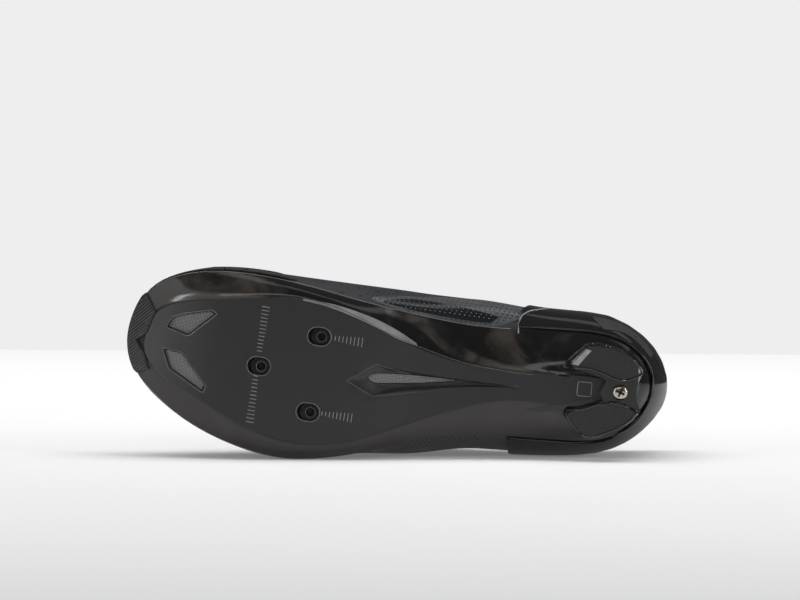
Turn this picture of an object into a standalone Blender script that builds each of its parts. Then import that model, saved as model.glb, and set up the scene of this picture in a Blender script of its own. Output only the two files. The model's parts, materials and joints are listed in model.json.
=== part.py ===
"""A right road cycling shoe with a three-hole composite outsole, lying on its lateral side.

The shoe is modelled upright: x runs from heel to toe, +y is the medial side, z is up from the
plane under the cleat platform and the heel pad. At the end an empty that carries every piece
turns the shoe onto its side, as it lies on a floor. Lengths are in metres.
"""

import math

import bmesh
import bpy
import numpy as np
from mathutils import Matrix, Vector

# Main sizes of the last
LENGTH = 0.288
BALL_WIDTH = 0.0945
INSTEP_HEIGHT = 0.098

# How far below and above the soles' plane the cutters reach
CUT_FROM, CUT_TO = -0.012, 0.060

# Walls and clearances
GAP = 0.0003
LAYER_GAP = 0.0005
UPPER_WALL = 0.0020
WELT = 0.0008
RIM_HEIGHT = 0.0016
PLATE_THICKNESS = 0.0044
PLATFORM_STEP = 0.0006
INSOLE_THICKNESS = 0.0025
INSOLE_INSET = 0.0045
TONGUE_THICKNESS = 0.0035
TONGUE_GAP = 0.0005
TONGUE_RISE = 0.018
TONGUE_LEAN = (-0.75, 0.0, 0.66)
TONGUE_TOE_REACH = 0.012
TONGUE_ENDS = (0.58, 0.58)
COUNTER_THICKNESS = 0.0013
TOE_CAP_THICKNESS = 0.0008
BUMPER_SEAT = 0.0012
BUMPER_PROUD = 0.0014
BUMPER_CLEAR = 0.006
BUMPER_EDGE = 0.35
BUMPER_HALF = 0.88
BUMPER_START = 0.66
BUMPER_NOTCH = 0.14
PLACES_PER_METRE = 40
REACH_PER_METRE = 30
STRAP_THICKNESS = 0.0018

OVERLAY_FOOT = 0.04
STRAP_LATERAL_END = 0.70
STRAP_MEDIAL_END = 0.81

# Throat
THROAT_FRONT = 0.194
THROAT_TOP = 0.120
THROAT_FRONT_HALF = 0.0125
THROAT_TOP_HALF = 0.0150

# Closure straps, by the place of their middle on the instep
STRAP_WIDTH = 0.023
FRONT_STRAP_PLACE = 0.177
REAR_STRAP_PLACE = 0.140

# Cleat slots
CLEAT_REAR_SPACING = 0.040
CLEAT_REACH = 0.029
CLEAT_REAR_PLACE = 0.18735
CLEAT_MIDDLE_Y = -0.0051
CLEAT_TURN = math.radians(3.3)
SLOT_WIDTH = 0.0090
SLOT_LENGTH = 0.0118
NUT_BORE = 0.0045
NUT_BARREL = 0.0076
NUT_FLANGE = 0.0108
NUT_FLANGE_HEIGHT = 0.0010
NUT_SINK = 0.0010
NUT_SHIFT = 0.0013
NUT_POCKET_DEPTH = 0.0022
NUT_POCKET_CLEARANCE = 0.0008

# Vents
VENT_DEPTH_BELOW = 0.0016
VENT_MESH_THICKNESS = 0.0009
RECESS_DEPTH = 0.0022
RECESS_FLOOR_SHARE = 0.62

# Heel pad and its screw
HEEL_PAD_SHOULDER = 0.009
LUG_CORE = (0.125, 0.190)
LUG_TAPER = 0.15
BRIDGE_HALF = 0.10
PAD_BRIDGE_RISE = 0.0028
SCREW_PLACE = (0.0267, 0.0000)
SCREW_HEAD = 0.0084
SCREW_HEAD_HEIGHT = 0.0020
SCREW_SHANK = 0.0040
SCREW_LENGTH = 0.0085
SCREW_CHAMFER = 0.0008

# Rows of the table below, counted from the heel's back seam to the tip of the toe
HEEL_ROW, RIDGE_ROW, TOE_ROW = 0, 5, 11
COLUMNS_PER_ROW = 3
COLLAR_ONLY = 3.9
RIDGE_TOLERANCE = 1e-5

# Where the upper meets the sole, as shares of LENGTH (x), BALL_WIDTH (y) and INSTEP_HEIGHT (z)
FEATHER = {
    # row: (lateral x, lateral y, lateral z, medial x, medial y, medial z)
    0: (0.038, 0.000, 0.205, 0.038, 0.000, 0.205),
    1: (0.070, -0.165, 0.200, 0.060, 0.180, 0.202),
    2: (0.122, -0.279, 0.190, 0.118, 0.275, 0.200),
    3: (0.250, -0.299, 0.195, 0.243, 0.280, 0.225),
    4: (0.361, -0.307, 0.185, 0.361, 0.271, 0.245),
    5: (0.472, -0.386, 0.145, 0.472, 0.307, 0.205),
    6: (0.583, -0.487, 0.095, 0.576, 0.358, 0.133),
    7: (0.691, -0.531, 0.082, 0.681, 0.420, 0.112),
    8: (0.788, -0.478, 0.097, 0.788, 0.452, 0.133),
    9: (0.882, -0.360, 0.148, 0.882, 0.429, 0.184),
    10: (0.962, -0.169, 0.230, 0.958, 0.314, 0.250),
    11: (0.988, 0.055, 0.286, 0.988, 0.055, 0.286),
}

# The collar's edge for rows 0 to 4, and the instep's ridge from row 5 to the toe
TOP_LINE = {
    # row: (x, lateral y, medial y, lateral z, medial z)
    0: (0.014, 0.000, 0.000, 0.775, 0.775),
    1: (0.046, -0.185, 0.185, 0.750, 0.750),
    2: (0.135, -0.275, 0.270, 0.665, 0.680),
    3: (0.240, -0.305, 0.295, 0.610, 0.635),
    4: (0.340, -0.250, 0.240, 0.755, 0.765),
    5: (0.417, 0.000, 0.000, 0.990, 0.990),
    6: (0.521, 0.000, 0.000, 0.862, 0.862),
    7: (0.622, 0.000, 0.000, 0.712, 0.712),
    8: (0.722, 0.008, 0.008, 0.590, 0.590),
    9: (0.812, 0.022, 0.022, 0.517, 0.517),
    10: (0.885, 0.042, 0.042, 0.470, 0.470),
    11: (0.925, 0.053, 0.053, 0.435, 0.435),
}

# How each section bulges: the pull of its curve away from the sole and away from the top line,
# outward as shares of BALL_WIDTH and upward as shares of INSTEP_HEIGHT, with the outward
# direction in degrees from the toe's
BULGE = {
    # row: (low facing, lateral out, lateral up, medial out, medial up,
    #       top facing, lateral out, medial out, top drop)
    0: (180, 0.135, 0.13, 0.135, 0.13, 180, 0.085, 0.085, -0.18),
    1: (143, 0.120, 0.13, 0.137, 0.13, 140, 0.085, 0.085, -0.18),
    2: (102, 0.112, 0.10, 0.152, 0.10, 104, 0.118, 0.138, -0.13),
    3: (91, 0.152, 0.08, 0.150, 0.08, 92, 0.122, 0.126, -0.11),
    4: (92, 0.175, 0.12, 0.235, 0.11, 90, 0.190, 0.195, -0.15),
    5: (92, 0.215, 0.22, 0.265, 0.19, 90, 0.450, 0.360, 0.000),
    6: (93, 0.040, 0.21, 0.216, 0.19, 90, 0.420, 0.375, 0.000),
    7: (90, -0.015, 0.20, 0.142, 0.19, 90, 0.340, 0.360, 0.000),
    8: (72, -0.020, 0.18, 0.108, 0.18, 86, 0.310, 0.340, -0.005),
    9: (58, 0.005, 0.17, 0.069, 0.15, 70, 0.265, 0.305, -0.018),
    10: (33, 0.024, 0.12, 0.026, 0.11, 38, 0.185, 0.185, -0.034),
    11: (0, 0.024, 0.08, 0.024, 0.08, 0, 0.125, 0.125, -0.036),
}

# The sole's underside: where the flat platform ends, as a share of the way from the sole's
# middle line to its edge, and the power of the curve that its side rises by
CREASE = {
    # row: (lateral share, medial share, lateral power, medial power)
    0: (0.42, 0.42, 3.2, 3.2),
    1: (0.40, 0.40, 3.2, 3.2),
    2: (0.30, 0.34, 3.0, 2.8),
    3: (0.22, 0.30, 1.7, 1.4),
    4: (0.46, 0.35, 1.5, 1.2),
    5: (0.69, 0.52, 1.6, 1.4),
    6: (0.82, 0.755, 1.8, 1.8),
    7: (0.80, 0.845, 1.9, 2.2),
    8: (0.73, 0.732, 1.9, 2.2),
    9: (0.62, 0.70, 1.7, 2.0),
    10: (0.62, 0.72, 1.6, 1.7),
    11: (0.66, 0.66, 1.5, 1.5),
}
SPINE_Y = -0.042
SPINE_START, SPINE_REACH = 0.090, 0.830

# Height of the platform along the sole, as shares of LENGTH and of INSTEP_HEIGHT
PLATFORM = (
    # (place, height)
    (0.000, 0.105),
    (0.060, 0.078),
    (0.180, 0.074),
    (0.300, 0.098),
    (0.380, 0.108),
    (0.470, 0.075),
    (0.540, 0.026),
    (0.600, 0.000),
    (0.700, 0.000),
    (0.780, 0.000),
    (0.840, 0.030),
    (0.900, 0.088),
    (0.950, 0.150),
    (1.000, 0.225),
)

# Outlines on the sole, as shares of LENGTH (x) and BALL_WIDTH (y)
TOE_VENTS = {
    "vent_mesh_toe_medial": (
        (0.924, 0.128),
        (0.913, 0.184),
        (0.890, 0.210),
        (0.847, 0.241),
        (0.839, 0.224),
        (0.884, 0.095),
    ),
    "vent_mesh_toe_lateral": (
        (0.926, 0.004),
        (0.892, -0.010),
        (0.874, -0.074),
        (0.846, -0.172),
        (0.850, -0.207),
        (0.912, -0.100),
    ),
}
ARCH_RECESS = (
    (0.589, -0.070),
    (0.539, 0.030),
    (0.465, 0.008),
    (0.260, -0.022),
    (0.260, -0.030),
    (0.445, -0.095),
    (0.541, -0.146),
)
ARCH_MESH = (
    (0.553, -0.046),
    (0.546, -0.026),
    (0.534, -0.017),
    (0.465, -0.011),
    (0.390, -0.019),
    (0.390, -0.033),
    (0.463, -0.060),
    (0.534, -0.077),
    (0.546, -0.068),
)

# Outline of the heel pad, as shares of LENGTH and BALL_WIDTH: two lugs joined by a bridge
HEEL_PAD = (
    (0.199, 0.131),
    (0.193, 0.140),
    (0.167, 0.242),
    (0.160, 0.250),
    (0.140, 0.256),
    (0.114, 0.248),
    (0.088, 0.226),
    (0.066, 0.188),
    (0.054, 0.146),
    (0.053, 0.115),
    (0.062, 0.056),
    (0.0635, 0.018),
    (0.062, -0.034),
    (0.053, -0.090),
    (0.054, -0.116),
    (0.064, -0.160),
    (0.083, -0.212),
    (0.108, -0.250),
    (0.134, -0.268),
    (0.155, -0.272),
    (0.192, -0.156),
    (0.194, -0.136),
    (0.186, -0.117),
    (0.122, -0.055),
    (0.129, -0.008),
    (0.120, 0.060),
    (0.141, 0.083),
    (0.193, 0.108),
)
# The bridge between the lugs lies higher than they do, inside this outline
PAD_BRIDGE = (
    (0.200, 0.095),
    (0.141, 0.080),
    (0.093, 0.062),
    (0.060, 0.120),
    (0.030, 0.120),
    (0.030, -0.110),
    (0.060, -0.105),
    (0.093, -0.050),
    (0.141, -0.085),
    (0.200, -0.115),
)

# Trim outlines of the layers on the upper, as shares of LENGTH and INSTEP_HEIGHT from the side
COUNTER_TRIM = (
    (0.288, -0.100),
    (0.288, 0.180),
    (0.280, 0.320),
    (0.264, 0.430),
    (0.240, 0.505),
    (0.205, 0.535),
    (0.158, 0.535),
    (0.124, 0.405),
    (0.090, 0.385),
    (-0.100, 0.385),
    (-0.100, -0.100),
)
TOE_CAP_TRIM = (
    (0.690, -0.100),
    (0.696, 0.135),
    (0.735, 0.190),
    (0.820, 0.235),
    (0.900, 0.330),
    (0.950, 0.390),
    (1.200, 0.390),
    (1.200, -0.100),
)

# The medial half of the tongue's outline from above, as shares of LENGTH and BALL_WIDTH
TONGUE_TRIM = (
    (0.720, 0.120),
    (0.700, 0.170),
    (0.660, 0.200),
    (0.550, 0.230),
    (0.460, 0.240),
    (0.432, 0.134),
    (0.400, 0.130),
    (0.340, 0.122),
)

# How far the sole may face down where the shoe lies, as the sine of the angle
LEAST_LEAN = -0.02

# What each piece weighs, in kilograms a cubic metre, for the way the shoe lies
DENSITY = {
    "outsole": 1550,
    "upper": 900,
    "insole": 350,
    "tongue": 350,
    "heel_counter": 1150,
    "toe_cap": 1100,
    "toe_bumper": 1150,
    "heel_pad": 1150,
    "strap": 800,
    "vent_mesh": 900,
    "cleat_nut": 7800,
    "heel_pad_screw": 7800,
}


def cubic(before, start, end, after, share):
    """A point between start and end on the smooth curve through four points."""
    return start + 0.5 * share * (
        (end - before)
        + share
        * (
            (2 * before - 5 * start + 4 * end - after)
            + share * (3 * (start - end) + after - before)
        )
    )


def control_points(row, medial):
    """The four points whose curve is the section of this row on one side of the last."""
    low, top, bulge = FEATHER[row], TOP_LINE[row], BULGE[row]
    side = 1 if medial else -1
    size = np.array((LENGTH, BALL_WIDTH, INSTEP_HEIGHT))
    foot = np.array(low[3:6] if medial else low[0:3]) * size
    head = np.array((top[0], top[2] if medial else top[1], top[4] if medial else top[3])) * size

    def pull(facing, out, up):
        turn = math.radians(facing)
        outward = np.array((math.cos(turn), side * math.sin(turn), 0.0))
        return outward * out * BALL_WIDTH + np.array((0.0, 0.0, up * INSTEP_HEIGHT))

    low_out, low_up = (bulge[3], bulge[4]) if medial else (bulge[1], bulge[2])
    top_out = bulge[7] if medial else bulge[6]
    return np.array(
        (
            foot,
            foot + pull(bulge[0], low_out, low_up),
            head + pull(bulge[5], top_out, bulge[8]),
            head,
        )
    )


LATERAL_NODES = [control_points(row, False) for row in range(TOE_ROW + 1)]
MEDIAL_NODES = [control_points(row, True) for row in range(TOE_ROW + 1)]


def node_at(row, medial):
    """A row's control points; past the heel seam or the toe tip the other side goes on."""
    if row < HEEL_ROW:
        row, medial = -row, not medial
    elif row > TOE_ROW:
        row, medial = 2 * TOE_ROW - row, not medial
    return (MEDIAL_NODES if medial else LATERAL_NODES)[row]


def section(place, medial):
    """The control points of the section at a place between rows."""
    row = min(int(place), TOE_ROW - 1)
    before, start, end, after = (node_at(row + step, medial) for step in (-1, 0, 1, 2))
    if row == RIDGE_ROW:
        before = before.copy()
        before[2:] = 2 * start[2:] - end[2:]
    elif row == RIDGE_ROW - 1:
        after = after.copy()
        after[2:] = 2 * end[2:] - start[2:]
    return cubic(before, start, end, after, place - row)


def skin(place, medial, rise):
    """A point of the last's outer surface: rise is 0 at the sole and 1 at the top line."""
    a, b, c, d = section(place, medial)
    left = 1 - rise
    return left**3 * a + 3 * left**2 * rise * b + 3 * left * rise**2 * c + rise**3 * d


def across(place, medial):
    """A place and side, carried over the heel seam or the toe tip where it lies past them."""
    if place < HEEL_ROW:
        return -place, not medial
    if place > TOE_ROW:
        return 2 * TOE_ROW - place, not medial
    return place, medial


def one_side_normal(surface, place, medial, rise):
    """The outward normal found on one side of the shoe only."""
    step, pole = 0.02, 0.97
    low, high, level = max(rise - step, 0.0), min(rise + step, 1.0), min(rise, pole)
    ahead = surface(*across(place + step, medial), level)
    along = ahead - surface(*across(place - step, medial), level)
    up = surface(place, medial, high) - surface(place, medial, low)
    found = np.cross(along, up) * (-1 if medial else 1)
    return found / np.linalg.norm(found)


def normal_of(surface, place, medial, rise):
    """The outward normal of a surface that is given by place, side and rise."""
    found = one_side_normal(surface, place, medial, rise)
    if rise == 1.0 and place >= RIDGE_ROW:
        found = found + one_side_normal(surface, place, not medial, rise)
    return found / np.linalg.norm(found)


def skin_offset(place, medial, rise, outward):
    """A point at a distance outside the last's surface, or inside it where that is negative."""
    return skin(place, medial, rise) + outward * normal_of(skin, place, medial, rise)


def throat_half(x):
    """Half the throat's width at a place along the shoe."""
    if x >= THROAT_FRONT:
        return 0.0
    straight = THROAT_FRONT - THROAT_FRONT_HALF
    if x > straight:
        return math.sqrt(max(THROAT_FRONT_HALF**2 - (x - straight) ** 2, 0.0))
    share = min((straight - x) / (straight - THROAT_TOP), 1.0)
    return THROAT_FRONT_HALF + (THROAT_TOP_HALF - THROAT_FRONT_HALF) * share


def edge_rise(place, medial):
    """How far up its section the upper reaches: to the collar, the ridge or the throat's edge."""

    def spare(rise):
        x, y, _ = skin(place, medial, rise)
        return abs(y - ridge_y) - throat_half(x)

    ridge_y = skin(place, medial, 1.0)[1] if place >= RIDGE_ROW else 0.0
    if place < COLLAR_ONLY or spare(1.0) >= 0:
        return 1.0
    low, high = 0.3, 1.0
    for _ in range(40):
        middle = (low + high) / 2
        low, high = (middle, high) if spare(middle) > 0 else (low, middle)
    return low


def place_on_ridge(x):
    """The row place at which the instep's ridge reaches x."""
    low, high = float(RIDGE_ROW), float(TOE_ROW)
    for _ in range(40):
        middle = (low + high) / 2
        low, high = (middle, high) if skin(middle, False, 1.0)[0] < x else (low, middle)
    return low


def upper_places():
    """The places of the upper's sections, closer together round the front of the throat."""
    even = [i / COLUMNS_PER_ROW for i in range(TOE_ROW * COLUMNS_PER_ROW + 1)]
    front = [place_on_ridge(THROAT_FRONT - THROAT_FRONT_HALF * s) for s in (0.0, 0.06, 0.3, 0.8)]
    clear = 0.3 / COLUMNS_PER_ROW
    kept = [p for p in even if p in (HEEL_ROW, TOE_ROW) or all(abs(p - f) > clear for f in front)]
    return sorted(kept + front)


def outward_at(place, medial):
    """The level direction that points out of the sole's edge."""
    step = 0.02
    ahead = section(*across(place + step, medial))[0]
    behind = section(*across(place - step, medial))[0]
    along = (ahead - behind) * (1 if medial else -1)
    found = np.array((-along[1], along[0], 0.0))
    return found / np.linalg.norm(found)


def sole_edge(place, medial):
    """The sole's upper edge, a welt's width outside the foot of the upper."""
    return section(place, medial)[0] + WELT * outward_at(place, medial)


def sole_middle(place):
    """The point of the sole's middle line from which a section runs out to the edge."""
    mean_x = (section(place, False)[0][0] + section(place, True)[0][0]) / 2
    return np.array((SPINE_START * LENGTH + SPINE_REACH * mean_x, SPINE_Y * BALL_WIDTH, 0.0))


def platform_height(x):
    """Height of the platform under the sole at a place along the shoe."""
    share = min(max(x / LENGTH, 0.0), 1.0)
    places = [p for p, _ in PLATFORM]
    heights = [PLATFORM[0][1]] + [h for _, h in PLATFORM] + [PLATFORM[-1][1]]
    i = min(int(np.searchsorted(places, share, side="right")) - 1, len(places) - 2)
    part = (share - places[i]) / (places[i + 1] - places[i])
    level = heights[i + 1] == heights[i + 2]
    found = heights[i + 1] if level else cubic(*heights[i : i + 4], part)
    return found * INSTEP_HEIGHT


def crease_at(place, medial):
    """(share, power) of the sole's section: where its platform ends, and how its side rises."""
    row = min(int(place), TOE_ROW - 1)

    def values(r):
        r = abs(r) if r <= TOE_ROW else 2 * TOE_ROW - r
        return np.array(CREASE[r])[[1, 3] if medial else [0, 2]]

    return cubic(values(row - 1), values(row), values(row + 1), values(row + 2), place - row)


def sole_under(place, medial, reach):
    """A point of the sole's underside: reach is 0 on the middle line and 1 at the edge."""
    edge = sole_edge(place, medial)
    share, power = crease_at(place, medial)
    middle = sole_middle(place)
    point = middle + (edge - middle) * reach
    base = platform_height(point[0])
    rim = edge[2] - RIM_HEIGHT
    out = max(reach - share, 0.0) / (1 - share)
    step = PLATFORM_STEP * min(out / 0.05, 1.0) * (1 - out)
    point[2] = base + (rim - base) * out**power + step
    return point


def sole_over(place, medial, reach, lift=0.0):
    """A point of the sole's upper face, where the insole lies."""
    point = sole_under(place, medial, reach)
    point[2] += PLATE_THICKNESS + (RIM_HEIGHT - PLATE_THICKNESS) * reach**4 + lift
    return point


def on_sole(place, medial, reach, lift):
    """A point above the sole's upper face as it is built, straight from ring to ring."""
    outer = min(r for r in OVER_REACHES if r >= reach)
    inner = max([r for r in OVER_REACHES if r < outer], default=outer)
    share = (reach - inner) / (outer - inner) if outer > inner else 0.0
    low, high = sole_over(place, medial, inner, lift), sole_over(place, medial, outer, lift)
    return low + (high - low) * share


def new_object(name, mesh, kind, smooth=40):
    """An object in the shoe's collection, with its material."""
    obj = bpy.data.objects.new(name, mesh)
    shoe_collection.objects.link(obj)
    if kind:
        mesh.materials.clear()
        mesh.materials.append(MATERIALS[kind])
        mesh.shade_smooth()
        mesh.set_sharp_from_angle(angle=math.radians(smooth))
    return obj


def finished(bm, name):
    """A mesh from a bmesh, with its doubles merged and its faces pointing out."""
    bmesh.ops.remove_doubles(bm, verts=bm.verts, dist=RIDGE_TOLERANCE)
    bmesh.ops.recalc_face_normals(bm, faces=bm.faces)
    if bm.calc_volume(signed=True) < 0:
        bmesh.ops.reverse_faces(bm, faces=bm.faces)
    mesh = bpy.data.meshes.new(name)
    bm.to_mesh(mesh)
    bm.free()
    return mesh


def shell(name, outer, inner):
    """A closed mesh from two like grids of points, joined along the edges that stay open."""
    outer, inner = np.array(outer), np.array(inner)
    rows, columns = outer.shape[:2]
    flat = outer.reshape(-1, 3)
    keys, seen = [], {}
    for index, point in enumerate(flat):
        key = tuple(np.round(point / RIDGE_TOLERANCE).astype(int))
        keys.append(seen.setdefault(key, index))
    bm = bmesh.new()
    skins = [
        [bm.verts.new(p) if keys[i] == i else None for i, p in enumerate(points)]
        for points in (flat, inner.reshape(-1, 3))
    ]
    edges = {}
    for r in range(rows - 1):
        for c in range(columns - 1):
            here, above = r * columns + c, (r + 1) * columns + c
            ring = list(dict.fromkeys(keys[i] for i in (here, here + 1, above + 1, above)))
            if len(ring) < 3:
                continue
            bm.faces.new([skins[0][i] for i in ring])
            bm.faces.new([skins[1][i] for i in reversed(ring)])
            for a, b in zip(ring, ring[1:] + ring[:1]):
                if not edges.pop((b, a), None):
                    edges[(a, b)] = True
    for a, b in edges:
        bm.faces.new((skins[0][b], skins[0][a], skins[1][a], skins[1][b]))
    return finished(bm, name)


def ring_loft(name, rings):
    """A closed mesh through rings of like length; the first and last lie folded on a line."""
    bm = bmesh.new()
    loops = [[bm.verts.new(p) for p in ring] for ring in rings]
    for low, high in zip(loops, loops[1:]):
        for i in range(len(low)):
            j = (i + 1) % len(low)
            bm.faces.new((low[i], low[j], high[j], high[i]))
    return finished(bm, name)


def round_the_foot(places):
    """(place, medial) once round: up the lateral side and back down the medial one."""
    return [(p, False) for p in places] + [(p, True) for p in reversed(places[1:-1])]


SOLE_PLACES = [i / COLUMNS_PER_ROW for i in range(TOE_ROW * COLUMNS_PER_ROW + 1)]
SIDE_STEPS = (0.0, 0.05, 0.25, 0.45, 0.65, 0.82, 0.93, 1.0)
OVER_REACHES = (1.0, 0.93, 0.8, 0.55, 0.0)


def sole_form(name, grow=0.0, low=None, high=None):
    """The outsole's closed form, grown all over, or a layer of it between two heights above
    its underside."""
    steps = round_the_foot(SOLE_PLACES)

    def ring(height, reach_of):
        points = []
        for place, medial in steps:
            point = height(place, medial, reach_of(place, medial))
            points.append(point + grow * outward_at(place, medial))
        return points

    def side(out):
        def reach(place, medial):
            share = crease_at(place, medial)[0]
            return share + (1 - share) * out

        return reach

    def under(place, medial, reach):
        lift = (low or 0.0) - grow
        return sole_under(place, medial, reach) + np.array((0.0, 0.0, lift))

    def over(place, medial, reach):
        if high is None:
            return sole_over(place, medial, reach, grow)
        return sole_under(place, medial, reach) + np.array((0.0, 0.0, high))

    def middle_ring(height):
        return [height(place, medial, 0.0) for place, medial in steps]

    def within(share):
        return lambda place, medial: crease_at(place, medial)[0] * share

    rings = [middle_ring(under), ring(under, within(0.5))]
    rings += [ring(under, side(out)) for out in SIDE_STEPS]
    rings += [ring(over, lambda *_, r=reach: r) for reach in OVER_REACHES[:-1]]
    rings += [middle_ring(over)]
    return ring_loft(name, rings)


def stacked(name, levels):
    """A closed form through like outlines in metres, each with its height."""
    bm = bmesh.new()
    rings = [[bm.verts.new((x, y, height)) for x, y in outline] for outline, height in levels]
    bm.faces.new(rings[0])
    bm.faces.new(rings[-1])
    for low, high in zip(rings, rings[1:]):
        for i in range(len(low)):
            j = (i + 1) % len(low)
            bm.faces.new((low[i], low[j], high[j], high[i]))
    return finished(bm, name)


def prism(name, outline, bottom, top):
    """An upright prism on an outline given in metres."""
    return stacked(name, [(outline, bottom), (outline, top)])


def scaled(outline):
    """An outline given in shares, in metres."""
    return [(x * LENGTH, y * BALL_WIDTH) for x, y in outline]


def inset(outline, distance):
    """An outline with each side moved inward by a distance, or outward where it is negative."""
    count = len(outline)
    area = sum(
        outline[i][0] * outline[(i + 1) % count][1] - outline[(i + 1) % count][0] * outline[i][1]
        for i in range(count)
    )
    turn = 1 if area > 0 else -1
    moved = []
    for i in range(count):
        before, here, after = (Vector(outline[(i + k) % count]) for k in (-1, 0, 1))
        first, second = (here - before).normalized(), (after - here).normalized()
        left = [Vector((-d.y, d.x)) * turn for d in (first, second)]
        mitre = (left[0] + left[1]).normalized()
        moved.append(here + mitre * distance / max(mitre.dot(left[0]), 0.4))
    return [tuple(p) for p in moved]


def stadium(centre, turn, length, width, sides=8):
    """The outline of a slot with round ends, long way along x before it is turned."""
    points = []
    for end in (1, -1):
        for i in range(sides + 1):
            angle = -math.pi / 2 + math.pi * i / sides
            x = end * ((length - width) / 2 + width / 2 * math.cos(angle))
            y = end * width / 2 * math.sin(angle)
            points.append((x, y))
    spun = Matrix.Rotation(turn, 2)
    return [tuple(Vector(centre) + spun @ Vector(p)) for p in points]


def combine(obj, mesh, operation):
    """Applies a Boolean between an object and a mesh, which is then discarded."""
    tool = bpy.data.objects.new("cutter", mesh)
    cutter_collection.objects.link(tool)
    modifier = obj.modifiers.new(operation.lower(), "BOOLEAN")
    modifier.operation = operation
    modifier.object = tool
    bpy.context.view_layer.update()
    graph = bpy.context.evaluated_depsgraph_get()
    result = bpy.data.meshes.new_from_object(obj.evaluated_get(graph))
    obj.modifiers.clear()
    obj.data = result
    bpy.data.objects.remove(tool)
    result.shade_smooth()
    result.set_sharp_from_angle(angle=math.radians(30))


def lathe(name, profile, centre, kind):
    """A turned piece: a closed profile of (radius, height) spun about an upright axis."""
    bm = bmesh.new()
    points = [bm.verts.new((r, 0.0, z)) for r, z in profile]
    edges = [bm.edges.new((a, b)) for a, b in zip(points, points[1:] + points[:1])]
    bmesh.ops.spin(
        bm, geom=points + edges, cent=(0, 0, 0), axis=(0, 0, 1), angle=math.tau, steps=14, use_merge=True
    )
    bmesh.ops.translate(bm, verts=bm.verts, vec=(*centre, 0.0))
    return new_object(name, finished(bm, name), kind)


def cleat_centres():
    """The middle of each cleat slot, by name."""
    turn = Matrix.Rotation(CLEAT_TURN, 2)
    middle = Vector((CLEAT_REAR_PLACE, CLEAT_MIDDLE_Y))
    places = {
        "front": Vector((CLEAT_REACH, 0.0)),
        "rear_medial": Vector((0.0, CLEAT_REAR_SPACING / 2)),
        "rear_lateral": Vector((0.0, -CLEAT_REAR_SPACING / 2)),
    }
    return {name: middle + turn @ place for name, place in places.items()}


def make_outsole():
    """The moulded composite sole: a cupped plate with vents, cleat slots and a screw hole."""
    sole = new_object("outsole", sole_form("outsole"), "composite")
    deep, high = CUT_FROM, CUT_TO
    for outline in TOE_VENTS.values():
        combine(sole, prism("vent", scaled(outline), deep, high), "DIFFERENCE")
    combine(sole, prism("vent", scaled(ARCH_MESH), deep, high), "DIFFERENCE")
    combine(sole, recess_cutter(), "DIFFERENCE")
    seat = bumper_form("seat", -BUMPER_SEAT - GAP, BUMPER_CLEAR, GAP)
    combine(sole, seat, "DIFFERENCE")
    for centre in cleat_centres().values():
        slot = stadium(centre, CLEAT_TURN, SLOT_LENGTH, SLOT_WIDTH)
        combine(sole, prism("slot", slot, deep, high), "DIFFERENCE")
        pocket = NUT_FLANGE + 2 * NUT_POCKET_CLEARANCE
        floor = platform_height(centre[0]) + PLATE_THICKNESS - NUT_POCKET_DEPTH
        cut = stadium(centre, CLEAT_TURN, pocket + SLOT_LENGTH - SLOT_WIDTH, pocket)
        combine(sole, prism("pocket", cut, floor, high), "DIFFERENCE")
    bore = stadium(screw_centre(), 0.0, SCREW_SHANK + 2 * GAP, SCREW_SHANK + 2 * GAP - 1e-6)
    combine(sole, prism("bore", bore, deep, high), "DIFFERENCE")
    return sole


def recess_cutter():
    """The arrow-shaped recess round the arch vent: its walls slope in towards the vent."""
    outer = scaled(ARCH_RECESS)
    centre = Vector(np.mean(scaled(ARCH_MESH), axis=0))
    bm = bmesh.new()
    below, above = [], []
    for point in outer:
        inner = centre + (Vector(point) - centre) * RECESS_FLOOR_SHARE
        height = platform_height(point[0])
        below.append(bm.verts.new((*point, height - 0.0005)))
        above.append(bm.verts.new((*inner, platform_height(inner.x) + RECESS_DEPTH)))
    bm.faces.new(below)
    bm.faces.new(above)
    count = len(outer)
    for i in range(count):
        j = (i + 1) % count
        bm.faces.new((below[i], below[j], above[j], above[i]))
    bmesh.ops.triangulate(bm, faces=bm.faces)
    return finished(bm, "recess")


def make_vent_meshes():
    """Three patches of grey mesh, each set inside its vent with a clearance all round."""
    outlines = dict(TOE_VENTS, vent_mesh_arch=ARCH_MESH)
    for name, outline in outlines.items():
        low = VENT_DEPTH_BELOW if name != "vent_mesh_arch" else RECESS_DEPTH + GAP
        layer = sole_form(name, low=low, high=low + VENT_MESH_THICKNESS)
        piece = new_object(name, layer, "vent_mesh")
        hole = inset(scaled(outline), GAP)
        combine(piece, prism("hole", hole, CUT_FROM, CUT_TO), "INTERSECT")


def make_cleat_nuts():
    """Three threaded nuts: a barrel in the slot under a flange in the pocket above it, pushed
    towards the slot's heel end."""
    shift = Matrix.Rotation(CLEAT_TURN, 2) @ Vector((-NUT_SHIFT, 0.0))
    for name, slot_centre in cleat_centres().items():
        centre = slot_centre + shift
        base = platform_height(centre[0])
        seat = base + PLATE_THICKNESS - NUT_POCKET_DEPTH + GAP
        bore, barrel, flange = NUT_BORE / 2, NUT_BARREL / 2, NUT_FLANGE / 2
        top = seat + NUT_FLANGE_HEIGHT
        profile = [(bore, base + NUT_SINK), (barrel, base + NUT_SINK), (barrel, seat)]
        profile += [(flange, seat), (flange, top), (bore, top)]
        lathe("cleat_nut_" + name, profile, centre, "dark_steel")


def screw_centre():
    """The middle of the heel pad's screw."""
    return Vector((SCREW_PLACE[0], SCREW_PLACE[1]))


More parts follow.
